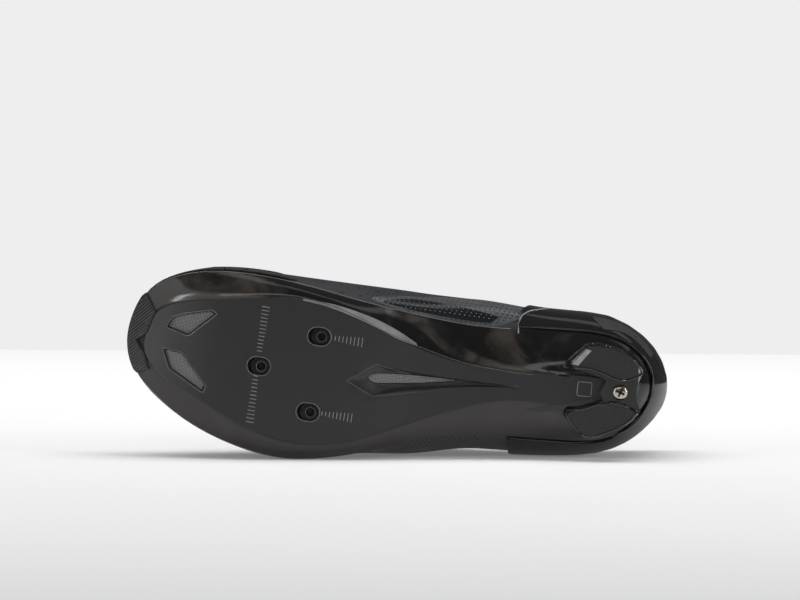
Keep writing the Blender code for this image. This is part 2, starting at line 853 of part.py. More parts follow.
def make_heel_pad():
    """The replaceable heel pad: two lugs and a higher bridge, seated on the sole's heel."""
    outline = scaled(HEEL_PAD)
    foot = []
    for x, y in outline:
        core = Vector((LUG_CORE[0] * LENGTH, math.copysign(LUG_CORE[1] * BALL_WIDTH, y)))
        shrink = LUG_TAPER if abs(y) > BRIDGE_HALF * BALL_WIDTH else 0.0
        foot.append(tuple(Vector((x, y)).lerp(core, shrink)))
    form = stacked("heel_pad", [(foot, 0.0), (outline, HEEL_PAD_SHOULDER), (outline, CUT_TO)])
    pad = new_object("heel_pad", form, "rubber")
    combine(pad, sole_form("seat", grow=GAP), "DIFFERENCE")
    keep_lowest(pad)
    combine(pad, prism("bridge", scaled(PAD_BRIDGE), CUT_FROM, PAD_BRIDGE_RISE), "DIFFERENCE")
    shank = SCREW_SHANK + 2 * GAP
    bore = stadium(screw_centre(), 0.0, shank, shank - 1e-6)
    combine(pad, prism("bore", bore, CUT_FROM, CUT_TO), "DIFFERENCE")
    return pad


def keep_lowest(obj):
    """Removes what a cut left above the sole, keeping the loose part that lies lowest."""
    bm = bmesh.new()
    bm.from_mesh(obj.data)
    left, parts = set(bm.verts), []
    while left:
        reached, stack = set(), [left.pop()]
        while stack:
            vertex = stack.pop()
            reached.add(vertex)
            for edge in vertex.link_edges:
                other = edge.other_vert(vertex)
                if other in left:
                    left.remove(other)
                    stack.append(other)
        parts.append(reached)
    lowest = min(parts, key=lambda part: min(v.co.z for v in part))
    bmesh.ops.delete(bm, geom=[v for v in bm.verts if v not in lowest], context="VERTS")
    bm.to_mesh(obj.data)
    bm.free()


def make_heel_screw():
    """A pan-head screw that holds the heel pad to the sole."""
    head, shank = SCREW_HEAD / 2, SCREW_SHANK / 2
    seat = PAD_BRIDGE_RISE - GAP
    low = seat - SCREW_HEAD_HEIGHT
    profile = [(0.0, low), (head * 0.55, low + 0.0001), (head * 0.86, low + SCREW_HEAD_HEIGHT * 0.3)]
    profile += [(head, low + SCREW_HEAD_HEIGHT * 0.75), (head, seat), (shank, seat)]
    tip = seat + SCREW_LENGTH
    profile += [(shank, tip - SCREW_CHAMFER), (shank - SCREW_CHAMFER, tip), (0.0, tip)]
    bm = bmesh.new()
    points = [bm.verts.new((r, 0.0, z)) for r, z in profile]
    edges = [bm.edges.new(pair) for pair in zip(points, points[1:])]
    bmesh.ops.spin(
        bm, geom=points + edges, cent=(0, 0, 0), axis=(0, 0, 1), angle=math.tau, steps=14, use_merge=True
    )
    bmesh.ops.translate(bm, verts=bm.verts, vec=(*screw_centre(), 0.0))
    new_object("heel_pad_screw", finished(bm, "heel_pad_screw"), "steel")


UPPER_STEPS = (0.0, 0.08, 0.2, 0.33, 0.46, 0.58, 0.7, 0.81, 0.91, 1.0)


def make_upper():
    """The hollow upper: one wall from the sole's edge to the collar and the throat."""
    outer, inner = [], []
    steps = round_the_foot(upper_places())
    for place, medial in steps + steps[:1]:
        reach = edge_rise(place, medial)
        floor = section(place, medial)[0][2] + GAP
        out, back = [], []
        for share in UPPER_STEPS:
            rise = share * reach
            for column, offset in ((out, 0.0), (back, -UPPER_WALL)):
                point = skin_offset(place, medial, rise, offset)
                if share == 0.0:
                    point[2] = floor
                point[2] = max(point[2], floor)
                column.append(point)
        outer.append(out)
        inner.append(back)
    return new_object("upper", shell("upper", outer, inner), "microfibre")


def trimmed(name, kind, outer, inner, outline, drawn_on):
    """A layer between two like grids, trimmed to an outline drawn from the side ("xz") or from
    above ("xy")."""
    piece = new_object(name, shell(name, outer, inner), kind)
    height = INSTEP_HEIGHT if drawn_on == "xz" else BALL_WIDTH
    tool = prism("trim", [(a * LENGTH, b * height) for a, b in outline], -LENGTH, LENGTH)
    if drawn_on == "xz":
        tool.transform(Matrix.Rotation(math.pi / 2, 4, "X"))
    combine(piece, tool, "INTERSECT")
    return piece


def patch(name, kind, cells, thickness, outline, drawn_on):
    """A trimmed layer just outside the upper, on its own grid of (place, side, rise) cells."""
    layers = [
        [[skin_offset(*cell, offset) for cell in row] for row in cells]
        for offset in (thickness + LAYER_GAP, LAYER_GAP)
    ]
    return trimmed(name, kind, *layers, outline, drawn_on)


def over_throat(place, lateral_end, medial_end):
    """Cells from one side of the instep over the throat to the other, on the upper's grid."""
    line = []
    for medial, lowest in ((False, lateral_end), (True, medial_end)):
        reach = edge_rise(place, medial)
        rises = [reach * share for share in UPPER_STEPS if share >= lowest]
        rises += [reach + (1 - reach) * share for share in (0.35, 0.7)]
        half = [(place, medial, rise) for rise in rises]
        line += half + [(place, False, 1.0)] if not medial else half[::-1]
    return line


def steps_over(end_row, limit):
    """(place, side) from a limit on the lateral side, over the heel seam or the toe tip, to
    the same limit on the medial side."""
    if end_row == HEEL_ROW:
        kept = [p for p in upper_places() if p <= limit]
        return [(p, False) for p in reversed(kept)] + [(p, True) for p in kept[1:]]
    kept = [p for p in upper_places() if p >= limit]
    return [(p, False) for p in kept] + [(p, True) for p in reversed(kept[:-1])]


def layer_cells(end_row, limit, highest):
    """Cells of the upper's grid round the heel or the toe, from just above the sole."""
    shares = (OVERLAY_FOOT,) + tuple(share for share in UPPER_STEPS[1:] if share <= highest)
    return [
        [(place, medial, share * edge_rise(place, medial)) for share in shares]
        for place, medial in steps_over(end_row, limit)
    ]


def make_tongue():
    """The padded tongue, under the throat's edges and standing above the collar."""
    front = place_on_ridge(THROAT_FRONT + TONGUE_TOE_REACH)
    places = [p for p in upper_places() if p >= RIDGE_ROW]
    last = min(p for p in places if p > front)
    layers = []
    for depth in (UPPER_WALL + TONGUE_GAP, UPPER_WALL + TONGUE_GAP + TONGUE_THICKNESS):
        rows = [
            [skin_offset(*cell, -depth) for cell in over_throat(place, *TONGUE_ENDS)]
            for place in places
            if place <= last
        ]
        rise = np.array(TONGUE_LEAN) / np.linalg.norm(TONGUE_LEAN) * TONGUE_RISE
        above = [[point + rise * share for point in rows[0]] for share in (1.0, 0.6, 0.3)]
        layers.append(above + rows)
    trim = TONGUE_TRIM + tuple((x, -y) for x, y in reversed(TONGUE_TRIM))
    return trimmed("tongue", "lining", *layers, trim, "xy")


def make_strap(name, middle_x):
    """A closure strap over the throat, from the medial eyestay to the lateral side."""
    places = upper_places()
    first = max(p for p in places if p < place_on_ridge(middle_x - STRAP_WIDTH))
    last = min(p for p in places if p > place_on_ridge(middle_x + STRAP_WIDTH))
    cells = [
        over_throat(place, STRAP_LATERAL_END, STRAP_MEDIAL_END)
        for place in places
        if first <= place <= last
    ]
    low, high = (middle_x - STRAP_WIDTH / 2) / LENGTH, (middle_x + STRAP_WIDTH / 2) / LENGTH
    outline = ((low - 0.02, -0.9), (high - 0.02, -0.9), (high + 0.01, 0.9), (low + 0.01, 0.9))
    return patch(name, "webbing", cells, STRAP_THICKNESS, outline, "xy")


def bumper_form(name, low, high, spare):
    """The bumper's closed form on the sole's toe, between two offsets from its underside, and
    larger all round its border by a spare distance."""
    columns, steps = 11, 8
    grids = []
    for offset in (high, low):
        grid = []
        for i in range(-columns, columns + 1):
            share, medial = abs(i) / columns, i > 0
            place = TOE_ROW - BUMPER_HALF * share - (spare * PLACES_PER_METRE if share == 1 else 0)
            notch = max(1 - share / 0.3, 0.0) + 0.45 * max(share - 0.55, 0.0) / 0.45
            start = BUMPER_START + BUMPER_NOTCH * notch
            outward = outward_at(place, medial)
            line = []
            for j in range(steps + 1):
                reach = start + (1 - start) * j / steps - (spare * REACH_PER_METRE if j == 0 else 0)
                inner = j > 0 and share < 1
                proud = offset if inner or offset < 0 else offset * BUMPER_EDGE
                turn = max(reach - 0.9, 0.0) / 0.1
                down = normal_of(sole_under, place, medial, min(reach, 0.97))
                direction = down * (1 - turn) + outward * turn
                direction /= np.linalg.norm(direction)
                line.append(sole_under(place, medial, reach) + direction * proud)
            rim = sole_edge(place, medial) + outward * proud
            rim[2] += spare
            line.append(rim)
            grid.append(line)
        grids.append(grid)
    return shell(name, *grids)


def make_toe_bumper():
    """The rubber bumper, set into the sole round its toe and standing a little proud of it."""
    form = bumper_form("toe_bumper", -BUMPER_SEAT, BUMPER_PROUD, 0.0)
    return new_object("toe_bumper", form, "rubber")


def make_insole():
    """The insole, on the sole's upper face inside the upper."""
    steps = round_the_foot(SOLE_PLACES)

    def grid(lift):
        rows = []
        for ring in (0.0, 0.55, 0.8, 1.0):
            row = []
            for place, medial in steps + steps[:1]:
                span = np.linalg.norm((sole_edge(place, medial) - sole_middle(place))[:2])
                edge = 1 - (WELT + UPPER_WALL + INSOLE_INSET) / span
                row.append(on_sole(place, medial, min(ring, edge), lift))
            rows.append(row)
        return rows

    mesh = shell("insole", grid(LAYER_GAP + INSOLE_THICKNESS), grid(LAYER_GAP))
    return new_object("insole", mesh, "lining")


def material(name, colour, roughness, metallic=0.0):
    """A Principled material."""
    made = bpy.data.materials.new(name)
    made.use_nodes = True
    shader = made.node_tree.nodes["Principled BSDF"]
    shader.inputs["Base Color"].default_value = (*colour, 1.0)
    shader.inputs["Roughness"].default_value = roughness
    shader.inputs["Metallic"].default_value = metallic
    return made


def lying_pose(pieces):
    """The turn that lays the shoe on its lateral side, its upper leaning on the floor too: on
    the face of its hull that points most to that side with the centre of mass over it."""
    points, mass, moment = [], 0.0, Vector()
    for piece in pieces:
        kind = next(k for k in DENSITY if piece.name.startswith(k))
        bm = bmesh.new()
        bm.from_mesh(piece.data)
        bmesh.ops.triangulate(bm, faces=bm.faces)
        for face in bm.faces:
            a, b, c = (v.co for v in face.verts)
            weight = a.dot(b.cross(c)) / 6 * DENSITY[kind]
            mass += weight
            moment += weight * (a + b + c) / 4
        points += [v.co.copy() for v in bm.verts]
        bm.free()
    centre = moment / mass
    bm = bmesh.new()
    for point in points:
        bm.verts.new(point)
    bmesh.ops.convex_hull(bm, input=bm.verts, use_existing_faces=False)
    loose = [v for v in bm.verts if not v.link_faces]
    bmesh.ops.delete(bm, geom=loose, context="VERTS")
    bmesh.ops.recalc_face_normals(bm, faces=bm.faces)
    best, facing = None, 0.7
    for face in bm.faces:
        normal = face.normal
        corners = [v.co for v in face.verts]
        inside = all(
            (b - a).cross(centre - a).dot(normal) >= 0
            for a, b in zip(corners, corners[1:] + corners[:1])
        )
        if inside and normal.z > LEAST_LEAN and -normal.y > facing:
            best, facing = normal.copy(), -normal.y
    bm.free()
    down = best.normalized()
    toe = Vector((1, 0, 0))
    level = (toe - down * toe.dot(down)).normalized()
    side = down.cross(level)
    turn = Matrix((-level, side, -down))
    turned = [turn @ p for p in points]
    low = [min(p[i] for p in turned) for i in range(3)]
    high = [max(p[i] for p in turned) for i in range(3)]
    shift = Vector((-(low[0] + high[0]) / 2, -(low[1] + high[1]) / 2, -low[2]))
    return Matrix.Translation(shift) @ turn.to_4x4()


for old in list(bpy.data.objects):
    bpy.data.objects.remove(old)

shoe_collection = bpy.data.collections.new("cycling_shoe")
cutter_collection = bpy.data.collections.new("cutters")
bpy.context.scene.collection.children.link(shoe_collection)
bpy.context.scene.collection.children.link(cutter_collection)

MATERIALS = {
    "composite": material("composite", (0.035, 0.034, 0.034), 0.3),
    "microfibre": material("microfibre", (0.03, 0.03, 0.033), 0.5),
    "gloss_shell": material("gloss_shell", (0.02, 0.02, 0.022), 0.12),
    "toe_film": material("toe_film", (0.035, 0.035, 0.037), 0.6),
    "rubber": material("rubber", (0.03, 0.03, 0.033), 0.7),
    "vent_mesh": material("vent_mesh", (0.28, 0.28, 0.28), 0.8),
    "lining": material("lining", (0.04, 0.04, 0.042), 0.85),
    "webbing": material("webbing", (0.03, 0.03, 0.032), 0.55),
    "dark_steel": material("dark_steel", (0.05, 0.05, 0.05), 0.35, 1.0),
    "steel": material("steel", (0.62, 0.58, 0.53), 0.25, 1.0),
}

make_outsole()
make_upper()
make_insole()
make_tongue()
counter_cells = layer_cells(HEEL_ROW, 4.0, 0.81)
patch("heel_counter", "gloss_shell", counter_cells, COUNTER_THICKNESS, COUNTER_TRIM, "xz")
toe_cells = layer_cells(TOE_ROW, 6.5, 0.7)
patch("toe_cap", "toe_film", toe_cells, TOE_CAP_THICKNESS, TOE_CAP_TRIM, "xz")
make_toe_bumper()
make_heel_pad()
make_heel_screw()
make_cleat_nuts()
make_vent_meshes()
make_strap("strap_front", FRONT_STRAP_PLACE)
make_strap("strap_rear", REAR_STRAP_PLACE)

shoe = bpy.data.objects.new("shoe", None)
shoe_collection.objects.link(shoe)
pieces = [obj for obj in shoe_collection.objects if obj.type == "MESH"]
shoe.matrix_world = lying_pose(pieces)
for piece in pieces:
    piece.parent = shoe
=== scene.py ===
"""Looks of a right road cycling shoe that lies on its side and shows its composite sole."""

import json
import math

import bmesh
import bpy
from mathutils import Matrix, Vector
from mathutils.bvhtree import BVHTree

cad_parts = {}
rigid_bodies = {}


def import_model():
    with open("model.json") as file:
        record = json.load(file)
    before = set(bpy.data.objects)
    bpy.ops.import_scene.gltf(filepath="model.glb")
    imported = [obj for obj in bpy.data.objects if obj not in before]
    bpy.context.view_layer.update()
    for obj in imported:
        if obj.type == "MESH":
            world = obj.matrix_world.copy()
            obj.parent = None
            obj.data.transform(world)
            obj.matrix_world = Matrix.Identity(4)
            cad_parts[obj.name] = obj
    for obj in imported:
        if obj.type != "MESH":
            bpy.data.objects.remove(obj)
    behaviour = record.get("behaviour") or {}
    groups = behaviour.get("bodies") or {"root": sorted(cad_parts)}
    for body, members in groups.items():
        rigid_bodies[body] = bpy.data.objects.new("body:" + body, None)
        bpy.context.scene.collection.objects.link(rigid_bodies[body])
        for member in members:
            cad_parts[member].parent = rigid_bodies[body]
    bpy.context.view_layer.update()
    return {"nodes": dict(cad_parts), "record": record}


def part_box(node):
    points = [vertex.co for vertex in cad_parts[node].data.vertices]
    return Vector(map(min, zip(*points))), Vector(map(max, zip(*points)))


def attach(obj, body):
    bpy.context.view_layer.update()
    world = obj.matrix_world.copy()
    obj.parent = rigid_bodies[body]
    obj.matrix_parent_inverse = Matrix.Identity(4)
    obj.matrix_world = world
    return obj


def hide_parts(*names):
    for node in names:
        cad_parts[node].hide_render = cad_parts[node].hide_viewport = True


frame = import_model()

# Camera: a long lens a little above the floor, square to the sole, as in the photograph.
PHOTO_WIDTH, PHOTO_HEIGHT = 800, 600
LENS, SENSOR = 253.80, 36.0
CAMERA_REACH, CAMERA_TURN, CAMERA_RISE = 3.0, math.radians(-0.935), math.radians(4.0)
CAMERA_ROLL = math.radians(0.432)
CAMERA_AIM = Vector((0.00104, 0.0, 0.08118))
level_reach = CAMERA_REACH * math.cos(CAMERA_RISE)
eye = Vector(
    (
        math.sin(CAMERA_TURN) * level_reach,
        -math.cos(CAMERA_TURN) * level_reach,
        0.045 + CAMERA_REACH * math.sin(CAMERA_RISE),
    )
)
sight = (CAMERA_AIM - eye).to_track_quat("-Z", "Y").to_matrix()
sight = sight @ Matrix.Rotation(CAMERA_ROLL, 3, "Z")
lens_data = bpy.data.cameras.new("camera")
lens_data.lens, lens_data.sensor_width = LENS, SENSOR
camera = bpy.data.objects.new("camera", lens_data)
camera.matrix_world = Matrix.Translation(eye) @ sight.to_4x4()
bpy.context.scene.collection.objects.link(camera)
bpy.context.scene.camera = camera
bpy.context.scene.view_settings.view_transform = "Standard"


def ray_through(px, py):
    """The direction in which the camera sees a pixel of the photograph."""
    focal = LENS / SENSOR * PHOTO_WIDTH
    ray = Vector(((px - PHOTO_WIDTH / 2) / focal, (PHOTO_HEIGHT / 2 - py) / focal, -1.0))
    return (sight @ ray).normalized()


def seen(px, py, tree):
    """Where a pixel of the photograph falls on a surface: the point, and the surface's normal."""
    return tree.ray_cast(eye, ray_through(px, py))[:2]


# Studio: a white floor that ends in front of a pale wall, a broad softbox overhead with a
# narrower one for its sheen, a low fill in front and a narrow box at each end that draws the
# long reflections.
def mesh_of(bm, name):
    """A mesh from a finished bmesh."""
    mesh = bpy.data.meshes.new(name)
    bm.to_mesh(mesh)
    bm.free()
    return mesh


FLOOR_WIDTH, FLOOR_DEPTH = 8.0, 5.0
FOLD_ROW = 352
fold_ray = ray_through(PHOTO_WIDTH / 2, FOLD_ROW)
FLOOR_END = (eye - fold_ray * (eye.z / fold_ray.z)).y
floor_bm = bmesh.new()
bmesh.ops.create_grid(floor_bm, x_segments=1, y_segments=1, size=0.5)
bmesh.ops.transform(
    floor_bm,
    matrix=Matrix.Translation((0, FLOOR_END - FLOOR_DEPTH / 2, 0))
    @ Matrix.Diagonal((FLOOR_WIDTH, FLOOR_DEPTH, 1, 1)),
    verts=floor_bm.verts,
)
studio_floor = bpy.data.objects.new("studio_floor", mesh_of(floor_bm, "studio_floor"))
bpy.context.scene.collection.objects.link(studio_floor)


def new_material(name, roughness, metallic=0.0, coat=0.0, coat_roughness=0.05):
    """A material with its node tree and its Principled shader."""
    made = bpy.data.materials.new(name)
    made.use_nodes = True
    tree = made.node_tree
    surface = tree.nodes["Principled BSDF"]
    surface.inputs["Roughness"].default_value = roughness
    surface.inputs["Metallic"].default_value = metallic
    surface.inputs["Coat Weight"].default_value = coat
    surface.inputs["Coat Roughness"].default_value = coat_roughness
    return made, tree, surface


def add_node(tree, kind, inputs=None, **settings):
    """A shader node with its settings, and its inputs set to values or linked to sockets."""
    made = tree.nodes.new("ShaderNode" + kind)
    for key, value in settings.items():
        setattr(made, key, value)
    for key, value in (inputs or {}).items():
        if isinstance(value, bpy.types.NodeSocket):
            tree.links.new(value, made.inputs[key])
        else:
            made.inputs[key].default_value = value
    return made


def mixed(tree, share, first, second):
    """A colour between two colours or sockets."""
    made = tree.nodes.new("ShaderNodeMix")
    made.data_type = "RGBA"
    for index, value in ((0, share), (6, first), (7, second)):
        if isinstance(value, bpy.types.NodeSocket):
            tree.links.new(value, made.inputs[index])
        else:
            made.inputs[index].default_value = (*value, 1.0) if index else value
    return made.outputs[2]


def maths(tree, operation, *values):
    """The result of a Math node."""
    made = tree.nodes.new("ShaderNodeMath")
    made.operation = operation
    for index, value in enumerate(values):
        if isinstance(value, bpy.types.NodeSocket):
            tree.links.new(value, made.inputs[index])
        else:
            made.inputs[index].default_value = value
    return made.outputs[0]


def between(tree, value, low, high, start=0.0, end=1.0):
    """A value smoothly carried from one range to another, and held at its ends."""
    made = add_node(
        tree,
        "MapRange",
        {"Value": value, "From Min": low, "From Max": high, "To Min": start, "To Max": end},
        interpolation_type="SMOOTHSTEP",
    )
    return made.outputs["Result"]


def embossed(tree, surface, height, strength, depth):
    """Gives a material a fine relief."""
    relief = add_node(
        tree, "Bump", {"Height": height, "Strength": strength, "Distance": depth}
    )
    tree.links.new(relief.outputs["Normal"], surface.inputs["Normal"])


def clouded_finish(name, roughness, scale, dark, light, detail=2.0, relief=None, **gloss):
    """A material whose colour drifts between two, with a fine relief where one is given."""
    made, tree, surface = new_material(name, roughness, **gloss)
    place = add_node(tree, "TexCoord").outputs["Object"]
    cloud = add_node(tree, "TexNoise", {"Vector": place, "Scale": scale, "Detail": detail})
    pattern = cloud.outputs["Fac"]
    tree.links.new(mixed(tree, pattern, dark, light), surface.inputs["Base Color"])
    if relief:
        embossed(tree, surface, pattern, *relief)
    return made


# Painted light: the floor glows, weakly at the front and more strongly towards the fold, which
# also lightens the shoe's shadow on it.
NEAR_GLOW, FAR_GLOW, GLOW_START = 0.08, 0.46, -0.30
floor_paint = clouded_finish(
    "studio_floor_paint", 0.75, 3.0, (0.80, 0.80, 0.80), (0.83, 0.83, 0.83)
)
tree = floor_paint.node_tree
surface = tree.nodes["Principled BSDF"]
surface.inputs["Specular IOR Level"].default_value = 0.1
surface.inputs["Emission Color"].default_value = (1.0, 1.0, 1.0, 1.0)
place = add_node(tree, "TexCoord").outputs["Object"]
depth = add_node(tree, "SeparateXYZ", {"Vector": place}).outputs["Y"]
glow = between(tree, depth, GLOW_START, FLOOR_END, NEAR_GLOW, FAR_GLOW)
tree.links.new(glow, surface.inputs["Emission Strength"])
studio_floor.data.materials.append(floor_paint)

world = bpy.data.worlds.new("studio")
world.use_nodes = True
bpy.context.scene.world = world
tree = world.node_tree
WALL, DIM = (0.855, 0.855, 0.86), (0.10, 0.10, 0.102)
seen_directly = add_node(tree, "LightPath").outputs["Is Camera Ray"]
tree.links.new(
    mixed(tree, seen_directly, DIM, WALL), tree.nodes["Background"].inputs["Color"]
)


def softbox(name, place, width, height, watts, glossy=True, aim=(0.0, 0.0, 0.05)):
    """A rectangular softbox, turned towards a point and seen or not in reflections."""
    data = bpy.data.lights.new(name, "AREA")
    data.shape, data.size, data.size_y = "RECTANGLE", width, height
    data.energy = watts
    lamp = bpy.data.objects.new(name, data)
    lamp.visible_camera = False
    lamp.visible_glossy = glossy
    turn = (Vector(aim) - Vector(place)).to_track_quat("-Z", "Y")
    lamp.matrix_world = Matrix.Translation(place) @ turn.to_matrix().to_4x4()
    bpy.context.scene.collection.objects.link(lamp)


softbox("overhead", (0.0, 0.0, 1.25), 2.2, 0.55, 16.5, glossy=False)
softbox("overhead_sheen", (0.0, 0.35, 1.25), 2.4, 0.22, 1.1)
softbox("front_fill", (-0.35, -1.9, 1.15), 1.5, 0.35, 3.0)
softbox("toe_strip", (-1.1, -0.75, 0.42), 0.18, 0.9, 3.5)
softbox("heel_strip", (1.15, -0.55, 0.40), 0.16, 0.9, 5.0)

# The shoe's own frame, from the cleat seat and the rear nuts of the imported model: x runs from
# heel to toe, y to the medial side and z into the shoe, with the plane under the platform at 0.
CLEAT_TURN = math.radians(3.3)
SEAT_PLACE = Vector((0.196, -0.009, 0.0))
seat = frame["record"]["mounts"][0]
inward = -Vector(seat["axis"]).normalized()


def middle_of(node):
    """The middle of a CAD node's box."""
    low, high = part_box(node)
    return (low + high) / 2


nut_line = middle_of("cleat_nut_rear_medial") - middle_of("cleat_nut_rear_lateral")
nut_line = (nut_line - inward * nut_line.dot(inward)).normalized()
medial_way = Matrix.Rotation(-CLEAT_TURN, 3, inward) @ nut_line
toe_way = medial_way.cross(inward)
shoe_turn = Matrix((toe_way, medial_way, inward)).transposed()
shoe = Matrix.Translation(Vector(seat["pos_m"]) - shoe_turn @ SEAT_PLACE) @ shoe_turn.to_4x4()
to_shoe = shoe.inverted()


def in_shoe(tree):
    """Shoe coordinates in a material, from the piece's Object coordinates."""
    place = add_node(tree, "TexCoord").outputs["Object"]
    mapping = add_node(tree, "Mapping", {"Vector": place})
    mapping.inputs["Location"].default_value = to_shoe.translation
    mapping.inputs["Rotation"].default_value = to_shoe.to_euler()
    return mapping.outputs["Vector"]


def tree_of(*meshes):
    """A ray-casting tree of meshes that are in place."""
    bm = bmesh.new()
    for mesh in meshes:
        bm.from_mesh(mesh)
    found = BVHTree.FromBMesh(bm)
    bm.free()
    return found


def new_piece(name, mesh, material, slot, *nodes):
    """A finished piece on the shoe's one body, in place of the CAD nodes it stands for."""
    mesh.materials.clear()
    mesh.materials.append(material)
    made = bpy.data.objects.new(name, mesh)
    bpy.context.scene.collection.objects.link(made)
    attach(made, "root")
    if nodes:
        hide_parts(*nodes)
    return made


def welded(node):
    """A bmesh copy of a CAD node, its triangles merged and joined to four-sided faces."""
    bm = bmesh.new()
    bm.from_mesh(frame["nodes"][node].data)
    for layer in list(bm.loops.layers.float_vector.values()):
        bm.loops.layers.float_vector.remove(layer)
    bmesh.ops.remove_doubles(bm, verts=bm.verts, dist=2e-5)
    bmesh.ops.join_triangles(
        bm,
        faces=bm.faces,
        angle_face_threshold=math.radians(28),
        angle_shape_threshold=math.radians(60),
    )
    return bm


def smooth_mesh(bm, name, sharp=35.0, crease=1.0):
    """A mesh whose sharp edges stay under a subdivision, and whose other edges are smooth."""
    layer = bm.edges.layers.float.get("crease_edge") or bm.edges.layers.float.new("crease_edge")
    for edge in bm.edges:
        hard = not edge.is_manifold or edge.calc_face_angle(0.0) > math.radians(sharp)
        edge[layer] = crease if hard else 0.0
        edge.smooth = not hard or crease < 1.0
    for face in bm.faces:
        face.smooth = True
    mesh = mesh_of(bm, name)
    if "custom_normal" in mesh.attributes:
        mesh.attributes.remove(mesh.attributes["custom_normal"])
    return mesh


def subdivided(piece, levels):
    """Gives a piece a subdivision that is the same in the view and the render."""
    modifier = piece.modifiers.new("rounding", "SUBSURF")
    modifier.levels = modifier.render_levels = levels
    return piece


def final_tree(*pieces):
    """A ray-casting tree of pieces as they are rendered, with their modifiers."""
    bpy.context.view_layer.update()
    graph = bpy.context.evaluated_depsgraph_get()
    meshes = [bpy.data.meshes.new_from_object(p.evaluated_get(graph)) for p in pieces]
    found = tree_of(*meshes)
    for mesh in meshes:
        bpy.data.meshes.remove(mesh)
    return found


def bead(points, radius, closed=False, sides=2):
    """A mesh rod with round ends along points."""
    data = bpy.data.curves.new("bead", "CURVE")
    data.dimensions = "3D"
    data.bevel_depth, data.bevel_resolution, data.use_fill_caps = radius, sides, True
    spline = data.splines.new("POLY")
    spline.points.add(len(points) - 1)
    for target, point in zip(spline.points, points):
        target.co = (*point, 1.0)
    spline.use_cyclic_u = closed
    rod = bpy.data.objects.new("bead", data)
    bpy.context.scene.collection.objects.link(rod)
    bpy.context.view_layer.update()
    mesh = bpy.data.meshes.new_from_object(rod)
    bpy.data.objects.remove(rod)
    return mesh


def joined(name, meshes):
    """One mesh from several, smooth-shaded, with its faces outward."""
    bm = bmesh.new()
    for mesh in meshes:
        bm.from_mesh(mesh)
        bpy.data.meshes.remove(mesh)
    bmesh.ops.recalc_face_normals(bm, faces=bm.faces)
    for face in bm.faces:
        face.smooth = True
    return mesh_of(bm, name)


def smooth_line(points, count, closed=False):
    """Points evenly spaced along a smooth curve through given points."""
    given = [Vector(p) for p in points]
    last = len(given) - 1
    spans = last + 1 if closed else last
    found = []
    for i in range(count):
        at = i * spans / (count if closed else count - 1)
        k = min(int(at), spans - 1)
        t = at - k
        if closed:
            a, b, c, d = (given[(k + j) % (last + 1)] for j in (-1, 0, 1, 2))
        else:
            a, b, c, d = (given[min(max(k + j, 0), last)] for j in (-1, 0, 1, 2))
        found.append(
            b + 0.5 * t * ((c - a) + t * ((2 * a - 5 * b + 4 * c - d) + t * (3 * (b - c) + d - a)))
        )
    return found


def drawn(pixels, tree, radius, lift=0.0, count=40, closed=False):
    """A bead on a surface, along a smooth line through pixels of the photograph."""
    points = []
    for px, py in smooth_line(pixels, count, closed):
        point, normal = seen(px, py, tree)
        if point is not None:
            points.append(point + normal * lift)
    return bead(points, radius, closed)


def under(x, y, tree):
    """The point of the sole's face at a place given in the shoe's millimetres."""
    start = shoe @ Vector((x / 1000, y / 1000, -0.05))
    return tree.ray_cast(start, inward)[:2]


def film(name, top, bottom, columns, rows, tree, lift, thickness=0.0002):
    """A thin closed skin on a surface, between two smooth lines of the photograph's pixels."""
    upper_line, lower_line = smooth_line(top, columns), smooth_line(bottom, columns)
    bm = bmesh.new()
    bmesh.ops.create_grid(bm, x_segments=columns - 1, y_segments=rows - 1, size=0.5)
    for vert in bm.verts:
        column = round((vert.co.x + 0.5) * (columns - 1))
        share = vert.co.y + 0.5
        px, py = upper_line[column].lerp(lower_line[column], share)
        point, normal = seen(px, py, tree)
        if point is not None:
            vert.co = point + normal * lift
            vert.tag = True
    bmesh.ops.delete(bm, geom=[v for v in bm.verts if not v.tag], context="VERTS")
    bmesh.ops.recalc_face_normals(bm, faces=bm.faces)
    bm.normal_update()
    middle = sum((f.normal for f in bm.faces), Vector())
    if middle.dot(eye) < 0:
        bmesh.ops.reverse_faces(bm, faces=bm.faces)
    bmesh.ops.solidify(bm, geom=bm.faces[:], thickness=thickness)
    bmesh.ops.recalc_face_normals(bm, faces=bm.faces)
    for face in bm.faces:
        face.smooth = True
    mesh = mesh_of(bm, name)
    mesh.set_sharp_from_angle(angle=math.radians(50))
    return mesh


def dots(name, pixels, radius, tree, lift=0.00006):
    """Small round holes or specks on a surface, each a flat disc at a pixel."""
    bm = bmesh.new()
    for px, py in pixels:
        point, normal = seen(px, py, tree)
        if point is None:
            continue
        turn = normal.to_track_quat("Z", "Y").to_matrix().to_4x4()
        bmesh.ops.create_circle(
            bm,
            cap_ends=True,
            segments=8,
            radius=radius,
            matrix=Matrix.Translation(point + normal * lift) @ turn,
        )
    return mesh_of(bm, name)


# Outsole: one plate of moulded composite, satin on its flat platform, glossy on its medial
# side and a browner satin on the lateral side, which rolls up to a thin rim.
MEDIAL_CREASE = (
    (0, 3), (47, 6.5), (80, 5.4), (109, 6.7), (123, 9.5), (137, 13.6), (151, 19), (165, 25),
    (180, 30.2), (195, 33.6), (209, 33), (223, 30.8), (249, 27.7), (261, 25.3), (271, 20.6),
    (276, 11.4), (288, 4),
)
LATERAL_CREASE = (
    (0, -4), (49, -10.9), (82, -9.5), (95, -12), (108, -15.9), (122, -20.8), (137, -26.9),
    (152, -33.4), (167, -39.1), (182, -41.7), (197, -41.6), (211, -39), (224, -34.6),
    (236, -28.9), (248, -23), (259, -17.6), (269, -11.7), (288, -4),
)
CURVE_LENGTH, CURVE_SPAN = 0.288, 0.12


